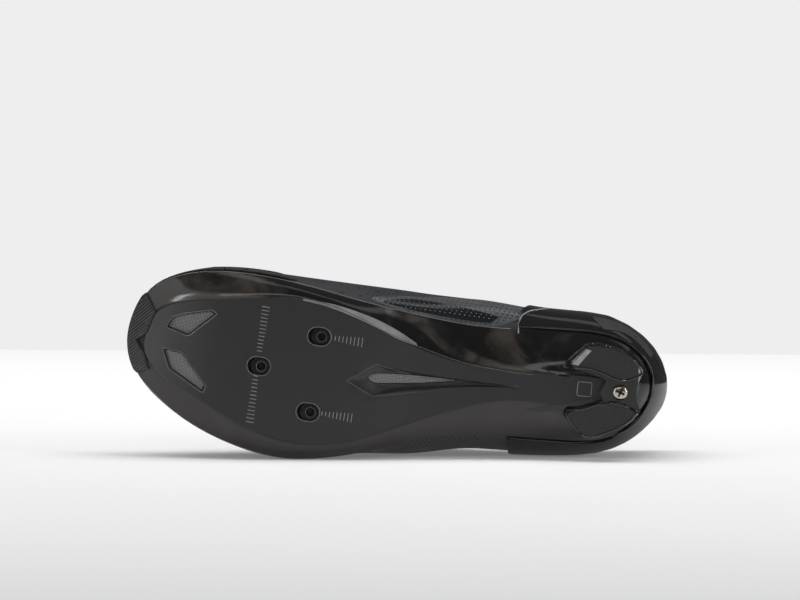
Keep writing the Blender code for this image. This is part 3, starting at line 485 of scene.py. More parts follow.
def side_line(tree, along, points):
    """The y of a line that runs along the shoe, from its points in millimetres."""
    node = add_node(tree, "FloatCurve", {"Value": maths(tree, "DIVIDE", along, CURVE_LENGTH)})
    curve = node.mapping.curves[0]
    shares = [(x / 1000 / CURVE_LENGTH, y / 1000 / CURVE_SPAN + 0.5) for x, y in points]
    curve.points[0].location, curve.points[1].location = shares[0], shares[-1]
    for share in shares[1:-1]:
        curve.points.new(*share)
    node.mapping.update()
    raised = maths(tree, "SUBTRACT", node.outputs["Value"], 0.5)
    return maths(tree, "MULTIPLY", raised, CURVE_SPAN)


# Lines of a painted reflection: a lighter brown streak along the medial side, in millimetres.
REFLECTION_STREAK_TOP = (
    (0, -60), (70, -60), (72, 6.5), (90.7, 9.6), (106.9, 14.4), (117.2, 23), (123.9, 27.2),
    (135.7, 30), (153, 32), (158, -60), (288, -60),
)
REFLECTION_STREAK_LOW = (
    (0, 60), (68, 60), (72, 4.2), (90.4, 5.2), (106.4, 7.4), (120, 12.4), (131.2, 20.6),
    (142.2, 26), (153, 29.4), (160, 60), (288, 60),
)
# Lines of a painted reflection: a lighter grey band on the medial side of the toe, in millimetres.
TOE_REFLECTION_TOP = (
    (0, -60), (205, -60), (212, 32.6), (230, 33.6), (246, 32.6), (258, 34.0), (264, 38),
    (270, 36), (288, 30),
)
TOE_REFLECTION_LOW = (
    (0, 60), (205, 60), (212, 32.4), (230, 29.6), (246, 26.8), (258, 25.0), (264, 22),
    (270, 16), (288, 0),
)


def band(tree, along, aside, top, low, soft):
    """How far a place is between two lines along the shoe, with soft borders."""
    below_top = maths(tree, "SUBTRACT", side_line(tree, along, top), aside)
    above_low = maths(tree, "SUBTRACT", aside, side_line(tree, along, low))
    return maths(
        tree,
        "MULTIPLY",
        between(tree, below_top, -soft / 3, soft),
        between(tree, above_low, -soft / 3, soft),
    )


composite, tree, surface = new_material("moulded_composite", 0.4)
place = in_shoe(tree)
apart = add_node(tree, "SeparateXYZ", {"Vector": place})
along, aside = apart.outputs["X"], apart.outputs["Y"]
past_medial = maths(tree, "SUBTRACT", aside, side_line(tree, along, MEDIAL_CREASE))
past_lateral = maths(tree, "SUBTRACT", side_line(tree, along, LATERAL_CREASE), aside)
on_medial = between(tree, past_medial, 0.0, 0.0015)
on_lateral = between(tree, past_lateral, -0.0005, 0.0025)
# Painted reflection: a brown-grey cloud over the medial side's glossy black. The same cloud varies
# the lateral side's own browner tone.
reflection_and_tone_cloud = add_node(
    tree, "TexNoise", {"Vector": place, "Scale": 38.0, "Detail": 5.0, "Distortion": 0.6}
)
reflection_and_tone_share = between(tree, reflection_and_tone_cloud.outputs["Fac"], 0.48, 0.72)
fine = add_node(tree, "TexNoise", {"Vector": place, "Scale": 2600.0, "Detail": 2.0})
platform_colour = mixed(
    tree, fine.outputs["Fac"], (0.0125, 0.0122, 0.012), (0.020, 0.0195, 0.019)
)
medial_black_and_painted_reflection = mixed(tree, reflection_and_tone_share, (0.006, 0.006, 0.006), (0.040, 0.034, 0.029))
lateral_colour = mixed(tree, reflection_and_tone_share, (0.021, 0.018, 0.017), (0.029, 0.025, 0.0235))
colour = mixed(tree, on_medial, platform_colour, medial_black_and_painted_reflection)
# Painted reflection: the lighter streak on the medial side.
reflection_streak_share = band(tree, along, aside, REFLECTION_STREAK_TOP, REFLECTION_STREAK_LOW, 0.0022)
reflection_streak_share = maths(tree, "MULTIPLY", reflection_streak_share, between(tree, reflection_and_tone_cloud.outputs["Fac"], 0.3, 0.6))
reflection_streak_share = maths(tree, "MULTIPLY", reflection_streak_share, on_medial)
colour = mixed(tree, reflection_streak_share, colour, (0.085, 0.074, 0.064))
# Painted reflection: the grey band at the toe.
toe_reflection_share = band(tree, along, aside, TOE_REFLECTION_TOP, TOE_REFLECTION_LOW, 0.002)
colour = mixed(tree, maths(tree, "MULTIPLY", toe_reflection_share, on_medial), colour, (0.075, 0.072, 0.070))
colour = mixed(tree, on_lateral, colour, lateral_colour)
tree.links.new(colour, surface.inputs["Base Color"])
rough = maths(tree, "SUBTRACT", 0.40, maths(tree, "MULTIPLY", on_medial, 0.30))
rough = maths(tree, "SUBTRACT", rough, maths(tree, "MULTIPLY", on_lateral, 0.10))
tree.links.new(rough, surface.inputs["Roughness"])
embossed(tree, surface, fine.outputs["Fac"], 0.12, 0.0001)

outsole_bm = welded("outsole")
outsole = new_piece(
    "sole_plate", smooth_mesh(outsole_bm, "sole_plate", 26.0), composite, "composite", "outsole"
)
subdivided(outsole, 2)
sole_tree = final_tree(outsole)

# Sole lines: thin moulded ridges round the toe vents, along the medial crease and round the
# arch recess, coloured lighter than the sole as painted highlights along their crests.
ridge_highlight_paint = clouded_finish(
    "moulded_ridge_highlight", 0.16, 300.0, (0.045, 0.044, 0.043), (0.11, 0.107, 0.104), coat=0.5
)
VENT_RIMS = (
    ((266, 12), (263, 17.6), (256.3, 20.2), (243.5, 23.2), (240.8, 21.3), (254.4, 8.5)),
    ((267, 0.6), (256.8, -0.6), (251.5, -7), (243.2, -16.4), (244.6, -20), (263, -9.6)),
)
VENT_RIM_GROWTH, VENT_RIM_RADIUS, RIDGE_RADIUS = 1.05, 0.00035, 0.00022
RECESS_EDGE = ((133.9, -1.7), (155.2, 3.0), (169.8, -6.8), (155.8, -14.0), (128.2, -9.2))
ridges = []
for outline in VENT_RIMS:
    middle = sum((Vector(p) for p in outline), Vector((0, 0))) / len(outline)
    corners = []
    for k, corner in enumerate(outline):
        after = Vector(outline[(k + 1) % len(outline)])
        corners += [Vector(corner).lerp(after, step) for step in (0.08, 0.36, 0.64, 0.92)]
    points = []
    for corner in corners:
        x, y = middle + (corner - middle) * VENT_RIM_GROWTH
        point, normal = under(x, y, sole_tree)
        if point is not None:
            points.append(point)
    ridges.append(bead(points, VENT_RIM_RADIUS, True))
edge_points = []
for a, b in zip(RECESS_EDGE, RECESS_EDGE[1:]):
    for k in range(8):
        x, y = Vector(a).lerp(Vector(b), k / 8)
        edge_points.append(under(x, y, sole_tree)[0])
ridges.append(bead([p for p in edge_points if p], RIDGE_RADIUS))
ridges.append(
    drawn(
        [
            (300, 297), (330, 305), (362, 319), (390, 334), (425, 349), (465, 363), (505, 371),
            (534, 375),
        ],
        sole_tree, RIDGE_RADIUS, count=70,
    )
)
new_piece("sole_ridges", joined("sole_ridges", ridges), ridge_highlight_paint, "composite")

# Rim line: a bead on the sole's thin rim, a fine light line of painted highlight against the
# upper.
rim_highlight_paint = clouded_finish(
    "rim_painted_highlight", 0.2, 60.0, (0.05, 0.05, 0.05), (0.34, 0.33, 0.32)
)
RIM_RADIUS, RIM_EVENING, RIM_PACE, RIM_STEP = 0.00030, 3, 3, 0.1


def rim_line(columns, rows, step):
    """A bead where the sole is first met, going down or up the picture's columns."""
    points = []
    for px in columns:
        py = rows[0]
        while (rows[1] - py) * step > 0:
            point, normal = seen(px, py, sole_tree)
            if point is not None:
                points.append(point)
                break
            py += step
    evened = []
    for k in range(len(points)):
        near = points[max(k - RIM_EVENING, 0) : k + RIM_EVENING + 1]
        evened.append(sum(near, Vector()) / len(near))
    return bead(evened, RIM_RADIUS)


rims = [
    rim_line([152 + RIM_PACE * k for k in range(122)], (250, 340), RIM_STEP),
    rim_line([140 + RIM_PACE * k for k in range(61)], (470, 360), -RIM_STEP),
]
new_piece("rim_line", joined("rim_line", rims), rim_highlight_paint, "composite")

# Crease facet: a thin light grey film on the long sliver between the platform and the medial
# side, a painted reflection where the sliver faces up.
facet_reflection_paint = clouded_finish(
    "crease_facet", 0.3, 70.0, (0.035, 0.035, 0.035), (0.30, 0.295, 0.29), detail=3.0
)
crease_reflection_mesh = film(
    "crease_facet",
    [(303, 299), (330, 303.5), (355, 311), (380, 321), (400, 332), (416, 343)],
    [(303, 300.5), (330, 307.5), (355, 317.5), (380, 329.5), (400, 340), (418, 346.5)],
    40, 5, sole_tree, 0.0001,
)
new_piece("crease_facet", crease_reflection_mesh, facet_reflection_paint, "composite")

# Heel hollows: two long dips beside the spine, ahead of the heel pad, drawn as near-black glossy
# films of painted shade.
hollow_shade_paint = clouded_finish(
    "hollow_painted_shade", 0.12, 90.0, (0.004, 0.004, 0.004), (0.010, 0.010, 0.010)
)
hollows = [
    film(
        "hollow",
        [(536, 362.5), (548, 364.5), (560, 370), (570, 376.5)],
        [(536, 363.5), (546, 370), (557, 375), (570, 377.5)],
        16, 5, sole_tree, 0.00012,
    ),
    film(
        "hollow",
        [(527, 408.5), (545, 406), (565, 403.5), (592, 399)],
        [(527, 410.5), (545, 411.5), (567, 408.5), (594, 401.5)],
        20, 5, sole_tree, 0.00012,
    ),
]
new_piece("heel_hollows", joined("heel_hollows", hollows), hollow_shade_paint, "composite")

# Slot lips and setting marks: a raised lip round each cleat slot, and fine light lines that
# show how far the cleat is moved.
mark_paint = clouded_finish(
    "light_marking", 0.5, 800.0, (0.16, 0.16, 0.16), (0.40, 0.40, 0.40), detail=3.0
)
SLOT_PLACES = ((216.30, -3.43), (186.20, 14.87), (188.50, -25.07))
SLOT_HALF_WIDTH, SLOT_HALF_STRAIGHT, LIP = 4.5, 1.4, 0.35
slot_turn = Matrix.Rotation(CLEAT_TURN, 2)


def slot_outline(centre, grow, steps=14):
    """Places round a slot with round ends, grown by a distance."""
    places = []
    for end in (1, -1):
        for k in range(steps + 1):
            angle = -math.pi / 2 + math.pi * k / steps
            reach = SLOT_HALF_WIDTH + grow
            x = end * (SLOT_HALF_STRAIGHT + reach * math.cos(angle))
            places.append(Vector(centre) + slot_turn @ Vector((x, end * reach * math.sin(angle))))
    return places


lips = []
for centre in SLOT_PLACES:
    points = [under(x, y, sole_tree)[0] for x, y in slot_outline(centre, LIP)]
    lips.append(bead([p for p in points if p], 0.00026, True))
lip_paint = clouded_finish(
    "slot_lip", 0.3, 200.0, (0.05, 0.05, 0.05), (0.16, 0.16, 0.16), coat=0.3
)
new_piece("slot_lips", joined("slot_lips", lips), lip_paint, "composite")

MARK_WIDTH, MARK_HEIGHT = 0.00032, 0.00005
marks_bm = bmesh.new()


def mark(centre, along, length):
    """One light line at a pixel, its long way along a direction of the picture."""
    first = seen(centre[0] - along[0] * length / 2, centre[1] - along[1] * length / 2, sole_tree)
    last = seen(centre[0] + along[0] * length / 2, centre[1] + along[1] * length / 2, sole_tree)
    if first[0] is None or last[0] is None:
        return
    line = last[0] - first[0]
    turn = Matrix((line.normalized(), inward.cross(line).normalized(), -inward)).transposed()
    bmesh.ops.create_cube(
        marks_bm,
        size=1.0,
        matrix=Matrix.Translation((first[0] + last[0]) / 2)
        @ turn.to_4x4()
        @ Matrix.Diagonal((line.length, MARK_WIDTH, MARK_HEIGHT, 1.0)),
    )


FRONT_MARKS = (((266.0, 307.0), (259.3, 351.0)), ((255.8, 376.0), (249.8, 422.0)))
for (start, end), lengths in zip(FRONT_MARKS, ((8.0, 5.0), (5.0, 8.0))):
    for k in range(13):
        share = k / 12
        centre = Vector(start).lerp(Vector(end), share)
        mark(centre, (0.985, 0.174), lengths[0] + (lengths[1] - lengths[0]) * share)
for start, end in (((331.5, 337.5), (362.2, 342.5)), ((322.0, 413.5), (351.5, 418.0))):
    for k in range(9):
        share = k / 8
        centre = Vector(start).lerp(Vector(end), share)
        mark(centre, (-0.15, 0.989), 4.0 + 5.5 * share)
bmesh.ops.recalc_face_normals(marks_bm, faces=marks_bm.faces)
new_piece("setting_marks", mesh_of(marks_bm, "setting_marks"), mark_paint, "composite")

# Badge: a plain square inset in a fine raised frame, left without any sign.
BADGE_MIDDLE, BADGE_HALF, BADGE_LINE = (45.2, -0.3), 3.7, 0.00018
BADGE_CORNER, BADGE_CORNER_REACH = 0.62, 1.35
frame_points = []
for k in range(32):
    angle = math.tau * k / 32
    c, w = math.cos(angle), math.sin(angle)
    near_corner = min(abs(c), abs(w)) >= BADGE_CORNER
    reach = BADGE_HALF * (BADGE_CORNER_REACH if near_corner else 1 / max(abs(c), abs(w)))
    x, y = BADGE_MIDDLE[0] + c * reach, BADGE_MIDDLE[1] + w * reach
    frame_points.append(under(x, y, sole_tree)[0])
new_piece(
    "badge_frame", joined("badge_frame", [bead([p for p in frame_points if p], BADGE_LINE, True)]),
    mark_paint, "composite",
)

# Upper: one hollow wall of coated microfibre with a fine leather-like grain, lasted and glued
# to the sole.
microfibre, tree, surface = new_material("coated_microfibre", 0.46)
place = add_node(tree, "TexCoord").outputs["Object"]
pebble = add_node(tree, "TexVoronoi", {"Vector": place, "Scale": 1500.0})
blotch = add_node(tree, "TexNoise", {"Vector": place, "Scale": 60.0, "Detail": 4.0})
tree.links.new(
    mixed(tree, blotch.outputs["Fac"], (0.026, 0.027, 0.030), (0.044, 0.045, 0.050)),
    surface.inputs["Base Color"],
)
tree.links.new(
    between(tree, blotch.outputs["Fac"], 0.3, 0.7, 0.40, 0.54), surface.inputs["Roughness"]
)
embossed(tree, surface, pebble.outputs["Distance"], 0.25, 0.0001)
upper_bm = welded("upper")
upper = new_piece(
    "upper_shell", smooth_mesh(upper_bm, "upper_shell", 50.0), microfibre, "microfibre", "upper"
)
subdivided(upper, 2)
upper_tree = final_tree(upper)

# Waist window: a thin grey perforated film with a glossy dark band, bonded to the upper on the
# medial side, with punched holes there, on the forefoot and on the lateral side.
window_film = clouded_finish(
    "window_film", 0.16, 120.0, (0.055, 0.059, 0.063), (0.095, 0.101, 0.108), detail=3.0, coat=0.3
)
WINDOW_FOOT = (
    (372, 300), (395, 309.5), (420, 316.0), (445, 321.0), (470, 325.8), (489, 328.5),
    (505, 325.0), (525, 318.0), (541, 312.5),
)
WINDOW_RISE = ((0.0, 1.5), (0.15, 10.0), (0.4, 19.0), (0.7, 22.0), (0.9, 15.0), (1.0, 9.0))
WINDOW_COLUMNS, WINDOW_ROWS, WINDOW_LIFT = 70, 24, 0.00024


def across(x, z, tree):
    """Where a level line from the medial side meets a surface, at a place of the shoe."""
    start = shoe @ Vector((x, 0.1, z))
    point, normal = tree.ray_cast(start, -medial_way)[:2]
    return point, normal


def rise_at(share):
    """How high the window reaches above its foot, at a share of its length."""
    for (s0, h0), (s1, h1) in zip(WINDOW_RISE, WINDOW_RISE[1:]):
        if share <= s1:
            return (h0 + (h1 - h0) * (share - s0) / (s1 - s0)) / 1000
    return WINDOW_RISE[-1][1] / 1000


feet = [seen(px, py, upper_tree)[0] for px, py in smooth_line(WINDOW_FOOT, WINDOW_COLUMNS)]
feet = [to_shoe @ foot for foot in feet if foot is not None]
window_bm = bmesh.new()
bmesh.ops.create_grid(
    window_bm, x_segments=len(feet) - 1, y_segments=WINDOW_ROWS - 1, size=0.5
)
for vert in window_bm.verts:
    column = round((vert.co.x + 0.5) * (len(feet) - 1))
    height = (vert.co.y + 0.5) * rise_at(column / (len(feet) - 1))
    point, normal = across(feet[column].x, feet[column].z + height, upper_tree)
    vert.tag = point is not None
    if vert.tag:
        vert.co = point + normal * WINDOW_LIFT
bmesh.ops.delete(window_bm, geom=[v for v in window_bm.verts if not v.tag], context="VERTS")
bmesh.ops.recalc_face_normals(window_bm, faces=window_bm.faces)
if sum((f.normal for f in window_bm.faces), Vector()).dot(medial_way) < 0:
    bmesh.ops.reverse_faces(window_bm, faces=window_bm.faces)
bmesh.ops.solidify(window_bm, geom=window_bm.faces[:], thickness=0.0002)
bmesh.ops.recalc_face_normals(window_bm, faces=window_bm.faces)
for face in window_bm.faces:
    face.smooth = True
new_piece("waist_window", mesh_of(window_bm, "waist_window"), window_film, "gloss_shell")
band_film = clouded_finish(
    "window_band_film", 0.12, 120.0, (0.005, 0.005, 0.006), (0.012, 0.013, 0.014), coat=0.3
)
window_band = film(
    "window_band",
    [(384, 300.5), (410, 300.0), (440, 304.0), (470, 309.5), (499, 317.5)],
    [(384, 302.5), (410, 309.5), (440, 316.0), (470, 321.0), (490, 323.0)],
    60, 8, upper_tree, 0.00052,
)
new_piece("window_band", window_band, band_film, "gloss_shell")
window_tree = final_tree(
    upper,
    *(bpy.data.objects[name] for name in ("waist_window", "window_band")),
)
# Hole discs: near-black, painted shade in place of the openings.
hole_shade_paint = clouded_finish(
    "punched_hole", 0.8, 900.0, (0.003, 0.003, 0.003), (0.009, 0.009, 0.009)
)
TOP_EDGE = (
    (318, 278.5), (345, 281.5), (375, 287.5), (405, 289.5), (450, 295.5), (500, 302.5),
    (546, 309.5),
)
LOW_EDGE = (
    (318, 290), (345, 294.5), (375, 302.0), (405, 312.5), (450, 324.5), (500, 333.0),
    (546, 336.0),
)
HOLE_PITCH, HOLE_ROW, SMALL_HOLE, ROUND_HOLE, SPECK = 4.9, 3.05, 0.00048, 0.00062, 0.00028


def edge_at(line, px):
    """The row of a line through pixels at a column."""
    for (x0, y0), (x1, y1) in zip(line, line[1:]):
        if px <= x1:
            return y0 + (y1 - y0) * (px - x0) / (x1 - x0)
    return line[-1][1]


holes, specks, vents = [], [], []
for row in range(9):
    for k in range(50):
        px = 366 + k * HOLE_PITCH + (row % 2) * HOLE_PITCH / 2 + row * 0.6
        py = edge_at(TOP_EDGE, px) + 2.2 + row * HOLE_ROW
        foot = edge_at(LOW_EDGE, px)
        if px > 540 - row * 7 or py > foot - 3.0:
            continue
        band = 384 < px < 503 - row * 2 and 3 <= row <= 5
        (specks if band else holes).append((px, py))
for row, (start, count) in enumerate(((322.7, 4), (342.0, 4))):
    for k in range(count):
        px = start + k * 18.2
        vents.append((px, edge_at(TOP_EDGE, px) + 3.6 + row * 7.5))
vents += [(224.8, 269.2), (246.8, 269.2), (269.6, 271.4), (379, 298.4), (397, 292.8)]
for row in range(4):
    for k in range(27):
        px = 347 + k * 5.0 + (row % 2) * 2.5
        py = 455.5 - (px - 347) * 0.125 - row * 3.0
        if py > 436 and px < 478 - row * 3:
            holes.append((px, py))
vent_tree = final_tree(upper, frame["nodes"]["toe_cap"])
new_piece(
    "punched_holes",
    joined(
        "punched_holes",
        [
            dots("small_holes", holes, SMALL_HOLE, window_tree),
            dots("round_holes", vents, ROUND_HOLE, vent_tree),
        ],
    ),
    hole_shade_paint,
    "microfibre",
)
speck_paint = clouded_finish(
    "speck_light", 0.4, 1400.0, (0.08, 0.08, 0.08), (0.34, 0.35, 0.36)
)
new_piece(
    "window_specks", dots("window_specks", specks, SPECK, window_tree), speck_paint,
    "microfibre",
)

# Heel counter: a moulded shell round the heel, heat-bonded over the upper, glossy on its medial
# side and satin on the other, with a light front edge and a seam bead along the sole.
gloss, tree, surface = new_material("gloss_shell", 0.10)
place = in_shoe(tree)
aside = add_node(tree, "SeparateXYZ", {"Vector": place}).outputs["Y"]
tree.links.new(
    between(tree, aside, -0.020, 0.004, 0.42, 0.09), surface.inputs["Roughness"]
)
wave = add_node(tree, "TexNoise", {"Vector": place, "Scale": 45.0, "Detail": 1.0})
tree.links.new(
    mixed(tree, wave.outputs["Fac"], (0.007, 0.007, 0.008), (0.014, 0.014, 0.015)),
    surface.inputs["Base Color"],
)
embossed(tree, surface, wave.outputs["Fac"], 0.25, 0.0006)
counter = new_piece(
    "counter_shell",
    smooth_mesh(welded("heel_counter"), "counter_shell", 40.0),
    gloss,
    "gloss_shell",
    "heel_counter",
)
subdivided(counter, 2)
counter_tree = final_tree(counter, upper, outsole)
trim_paint = clouded_finish(
    "counter_trim", 0.2, 100.0, (0.16, 0.16, 0.165), (0.34, 0.34, 0.35)
)
front_edge = drawn(
    [(549, 308.8), (538, 309.8), (529, 311.5), (522, 316), (519, 323), (518.3, 333.5)],
    counter_tree, 0.00040, 0.0001, 30,
)
new_piece("counter_trim", joined("counter_trim", [front_edge]), trim_paint, "gloss_shell")
seam_gloss = clouded_finish(
    "counter_seam_gloss", 0.18, 100.0, (0.012, 0.012, 0.012), (0.030, 0.030, 0.030), coat=0.3
)
seam = drawn(
    [
        (519, 326.6), (550, 328.2), (581.3, 330.5), (600, 333.0), (613.8, 336.6), (625, 341.6),
        (634.9, 348.9), (643.8, 357.2), (650.2, 367.0), (652.6, 376.5), (652.5, 386.5),
        (650.5, 397), (646.4, 407.3), (638, 420), (625.3, 430.3), (611, 436.8), (596.6, 440.7),
        (571.8, 442.6), (540, 440.6), (509, 438.2),
    ],
    counter_tree, 0.00062, 0.0, 150,
)
new_piece("counter_seam", joined("counter_seam", [seam]), seam_gloss, "gloss_shell")

# Heel panel: a matte fabric-faced panel high on the medial side of the heel, with two pinholes,
# and a dark glossy lens at the back.
panel_cloth, tree, surface = new_material("heel_panel_cloth", 0.55)
place = add_node(tree, "TexCoord").outputs["Object"]
pebble = add_node(tree, "TexVoronoi", {"Vector": place, "Scale": 1300.0})
tree.links.new(
    mixed(tree, pebble.outputs["Distance"], (0.022, 0.022, 0.023), (0.050, 0.050, 0.052)),
    surface.inputs["Base Color"],
)
embossed(tree, surface, pebble.outputs["Distance"], 0.4, 0.0001)
panel = film(
    "heel_panel",
    [(592, 317.0), (604, 318.6), (618, 322.8), (632, 330.8), (645, 343.0), (653, 354.0)],
    [(604, 329.6), (614, 330.6), (624, 333.2), (634, 339.6), (643, 348.5), (650, 358.0)],
    50, 10, counter_tree, 0.00025, 0.0003,
)
new_piece("heel_panel", panel, panel_cloth, "microfibre")
lens = film(
    "heel_lens",
    [(655.5, 354.0), (659.5, 358.5), (663.0, 366.0), (664.5, 374.0)],
    [(653.5, 356.0), (657.0, 362.0), (660.5, 369.0), (664.0, 374.6)],
    20, 6, counter_tree, 0.00025, 0.0003,
)
new_piece("heel_lens", lens, gloss, "gloss_shell")
panel_tree = final_tree(bpy.data.objects["heel_panel"])
# Pinholes: dark discs of painted shade.
new_piece(
    "heel_pinholes",
    dots("heel_pinholes", [(616.5, 326.2), (635.5, 336.6)], 0.0006, panel_tree),
    hole_shade_paint, "microfibre",
)

# Toe film: a thin woven-faced film over the toe box, bonded above the sole.
toe_cloth, tree, surface = new_material("toe_film_cloth", 0.6)
place = in_shoe(tree)
strands = add_node(
    tree, "TexWave", {"Vector": place, "Scale": 330.0, "Distortion": 1.5}, bands_direction="X"
)
weft = add_node(
    tree, "TexWave", {"Vector": place, "Scale": 330.0, "Distortion": 1.5}, bands_direction="Z"
)
weave = maths(tree, "MULTIPLY", strands.outputs["Fac"], weft.outputs["Fac"])
tree.links.new(
    mixed(tree, weave, (0.022, 0.022, 0.023), (0.070, 0.070, 0.072)),
    surface.inputs["Base Color"],
)
embossed(tree, surface, weave, 0.5, 0.00015)
toe_film = new_piece(
    "toe_film", smooth_mesh(welded("toe_cap"), "toe_film", 40.0), toe_cloth, "toe_film", "toe_cap"
)
subdivided(toe_film, 1)

# Toe bumper: a soft rubber edge with fine slanting ribs inside a plain border, glued into its
# seat in the sole.
rubber = clouded_finish(
    "moulded_rubber", 0.62, 900.0, (0.014, 0.014, 0.015), (0.026, 0.026, 0.028),
    detail=4.0, relief=(0.2, 0.0001),
)
bumper_mesh = smooth_mesh(welded("toe_bumper"), "bumper", 40.0)
bumper = new_piece("bumper", bumper_mesh, rubber, "rubber", "toe_bumper")
subdivided(bumper, 1)
bumper_tree = final_tree(bumper)
RIB_PITCH, RIB_SLANT, RIB_STEP = 3.3, math.radians(-38), 1.2
RIBS_LEFT, RIBS_TOP, RIB_BORDER, RIB_MIN_FACING = 116, 278, 3.2, 0.30
RIB_RADIUS, RIB_SINK = 0.00030, 0.00005
ribs = []
rib_way = Vector((math.cos(RIB_SLANT), math.sin(RIB_SLANT)))
for k in range(48):
    start = Vector((RIBS_LEFT, RIBS_TOP + k * RIB_PITCH))
    run = []
    for j in range(60):
        px, py = start + rib_way * (j * RIB_STEP)
        point, normal = seen(px, py, bumper_tree)
        around = [
            seen(px + dx, py + dy, bumper_tree)[0]
            for dx, dy in (
                (RIB_BORDER, 0), (0, RIB_BORDER), (0, -RIB_BORDER), (2.2, 2.2), (2.2, -2.2)
            )
        ]
        inside = point is not None and all(p is not None for p in around)
        if inside and -normal.y > RIB_MIN_FACING:
            run.append(point + normal * RIB_SINK)
            continue
        if len(run) > 2:
            ribs.append(bead(run, RIB_RADIUS, sides=0))
        run = []
    if len(run) > 2:
        ribs.append(bead(run, RIB_RADIUS, sides=0))
rib_rubber = clouded_finish(
    "rib_rubber", 0.5, 900.0, (0.050, 0.050, 0.053), (0.085, 0.085, 0.090), detail=3.0
)
new_piece("bumper_ribs", joined("bumper_ribs", ribs), rib_rubber, "rubber")

# Heel pad: a replaceable rubber tread of two lugs and a bridge. Its ground faces are matte
# and finely hatched, its sides are glossy.
pad_rubber, tree, surface = new_material("heel_pad_rubber", 0.2)
place = in_shoe(tree)
apart = add_node(tree, "SeparateXYZ", {"Vector": place})
on_ground = between(tree, apart.outputs["Z"], 0.00015, 0.0004, 1.0, 0.0)
hatch = [
    add_node(
        tree, "TexWave", {"Vector": place, "Scale": 290.0}, bands_direction=way
    ).outputs["Fac"]
    for way in ("X", "Y")
]
squares = maths(tree, "MINIMUM", *hatch)
face_colour = mixed(tree, squares, (0.007, 0.007, 0.008), (0.030, 0.030, 0.033))
tree.links.new(
    mixed(tree, on_ground, (0.010, 0.010, 0.011), face_colour), surface.inputs["Base Color"]
)
tree.links.new(
    between(tree, on_ground, 0.0, 1.0, 0.14, 0.6), surface.inputs["Roughness"]
)
embossed(tree, surface, maths(tree, "MULTIPLY", squares, on_ground), 0.6, 0.0002)
pad_mesh = smooth_mesh(welded("heel_pad"), "tread_pad", 30.0)
pad = new_piece("tread_pad", pad_mesh, pad_rubber, "rubber", "heel_pad")
ground_tree = final_tree(pad, outsole)
LUG_BORDERS = (
    (
        (565.5, 363.5), (583.5, 347.2), (597, 343.6), (618, 349.8), (634.5, 361.3),
        (641.6, 374.2), (622.4, 380.6), (600.4, 372.6), (589.5, 369.0), (568, 367.4),
    ),
    (
        (566.5, 413.0), (584.5, 436.0), (609, 432.2), (629, 421.4), (635.8, 411.4),
        (621.5, 405.6), (605.5, 403.2), (583.3, 409.5),
    ),
)
borders = [
    drawn(border, ground_tree, 0.00065, 0.0, 90, True) for border in LUG_BORDERS
]
edge_gloss = clouded_finish(
    "lug_edge_gloss", 0.14, 200.0, (0.008, 0.008, 0.009), (0.022, 0.022, 0.024), coat=0.5
)
new_piece("lug_borders", joined("lug_borders", borders), edge_gloss, "rubber")
# Lug facet: a light grey film on one face of the front lug, a painted highlight.
lug_highlight_paint = clouded_finish(
    "lug_facet", 0.25, 260.0, (0.16, 0.16, 0.165), (0.42, 0.42, 0.43)
)
lug_facet = film(
    "lug_facet", [(585.6, 348.9), (591.6, 350.8)], [(570.0, 363.6), (578.2, 365.6)],
    5, 8, ground_tree, 0.0001,
)
new_piece("lug_facet", lug_facet, lug_highlight_paint, "rubber")

# Vent meshes: fine grey woven cloth, glued in behind the three vents.
vent_cloth, tree, surface = new_material("vent_weave", 0.8)
place = in_shoe(tree)
strands = [
    add_node(
        tree, "TexWave", {"Vector": place, "Scale": 420.0, "Distortion": 2.0},
        bands_direction=way,
    ).outputs["Fac"]
    for way in ("X", "Y")
]
weave = maths(tree, "MULTIPLY", *strands)
tree.links.new(
    mixed(tree, weave, (0.085, 0.085, 0.086), (0.42, 0.42, 0.42)), surface.inputs["Base Color"]
)
embossed(tree, surface, weave, 0.7, 0.0002)
for node in ("vent_mesh_toe_medial", "vent_mesh_toe_lateral", "vent_mesh_arch"):
    mesh = smooth_mesh(welded(node), node.replace("mesh", "cloth"), 40.0)
    new_piece(node.replace("mesh", "cloth"), mesh, vent_cloth, "vent_mesh", node)

# Cleat nuts: turned steel with a dark finish, each a barrel in its slot with a threaded bore
# that shows as fine rings, lighter than the steel as painted highlights on the threads.
dark_steel = clouded_finish(
    "dark_turned_steel", 0.3, 700.0,
    (0.012, 0.012, 0.012), (0.045, 0.045, 0.045), detail=3.0, metallic=1.0,
)
rings = []
for node in ("cleat_nut_front", "cleat_nut_rear_medial", "cleat_nut_rear_lateral"):
    mesh = smooth_mesh(welded(node), node.replace("cleat_", "steel_"), 40.0)
    new_piece(node.replace("cleat_", "steel_"), mesh, dark_steel, "dark_steel", node)
    nut_middle = to_shoe @ middle_of(node)
    nut_face = min((to_shoe @ v.co).z for v in mesh.vertices)
    for reach, depth in ((0.00262, 0.0), (0.00232, 0.0006), (0.00232, 0.0013)):
        ring = [
            shoe
            @ Vector(
                (
                    nut_middle.x + reach * math.cos(math.tau * k / 32),
                    nut_middle.y + reach * math.sin(math.tau * k / 32),
                    nut_face + depth,
                )
            )
            for k in range(32)
        ]
        rings.append(bead(ring, 0.00014, True))
# The thread rings take the slot lips' lighter grey: painted highlights.
new_piece("nut_threads", joined("nut_threads", rings), lip_paint, "dark_steel")

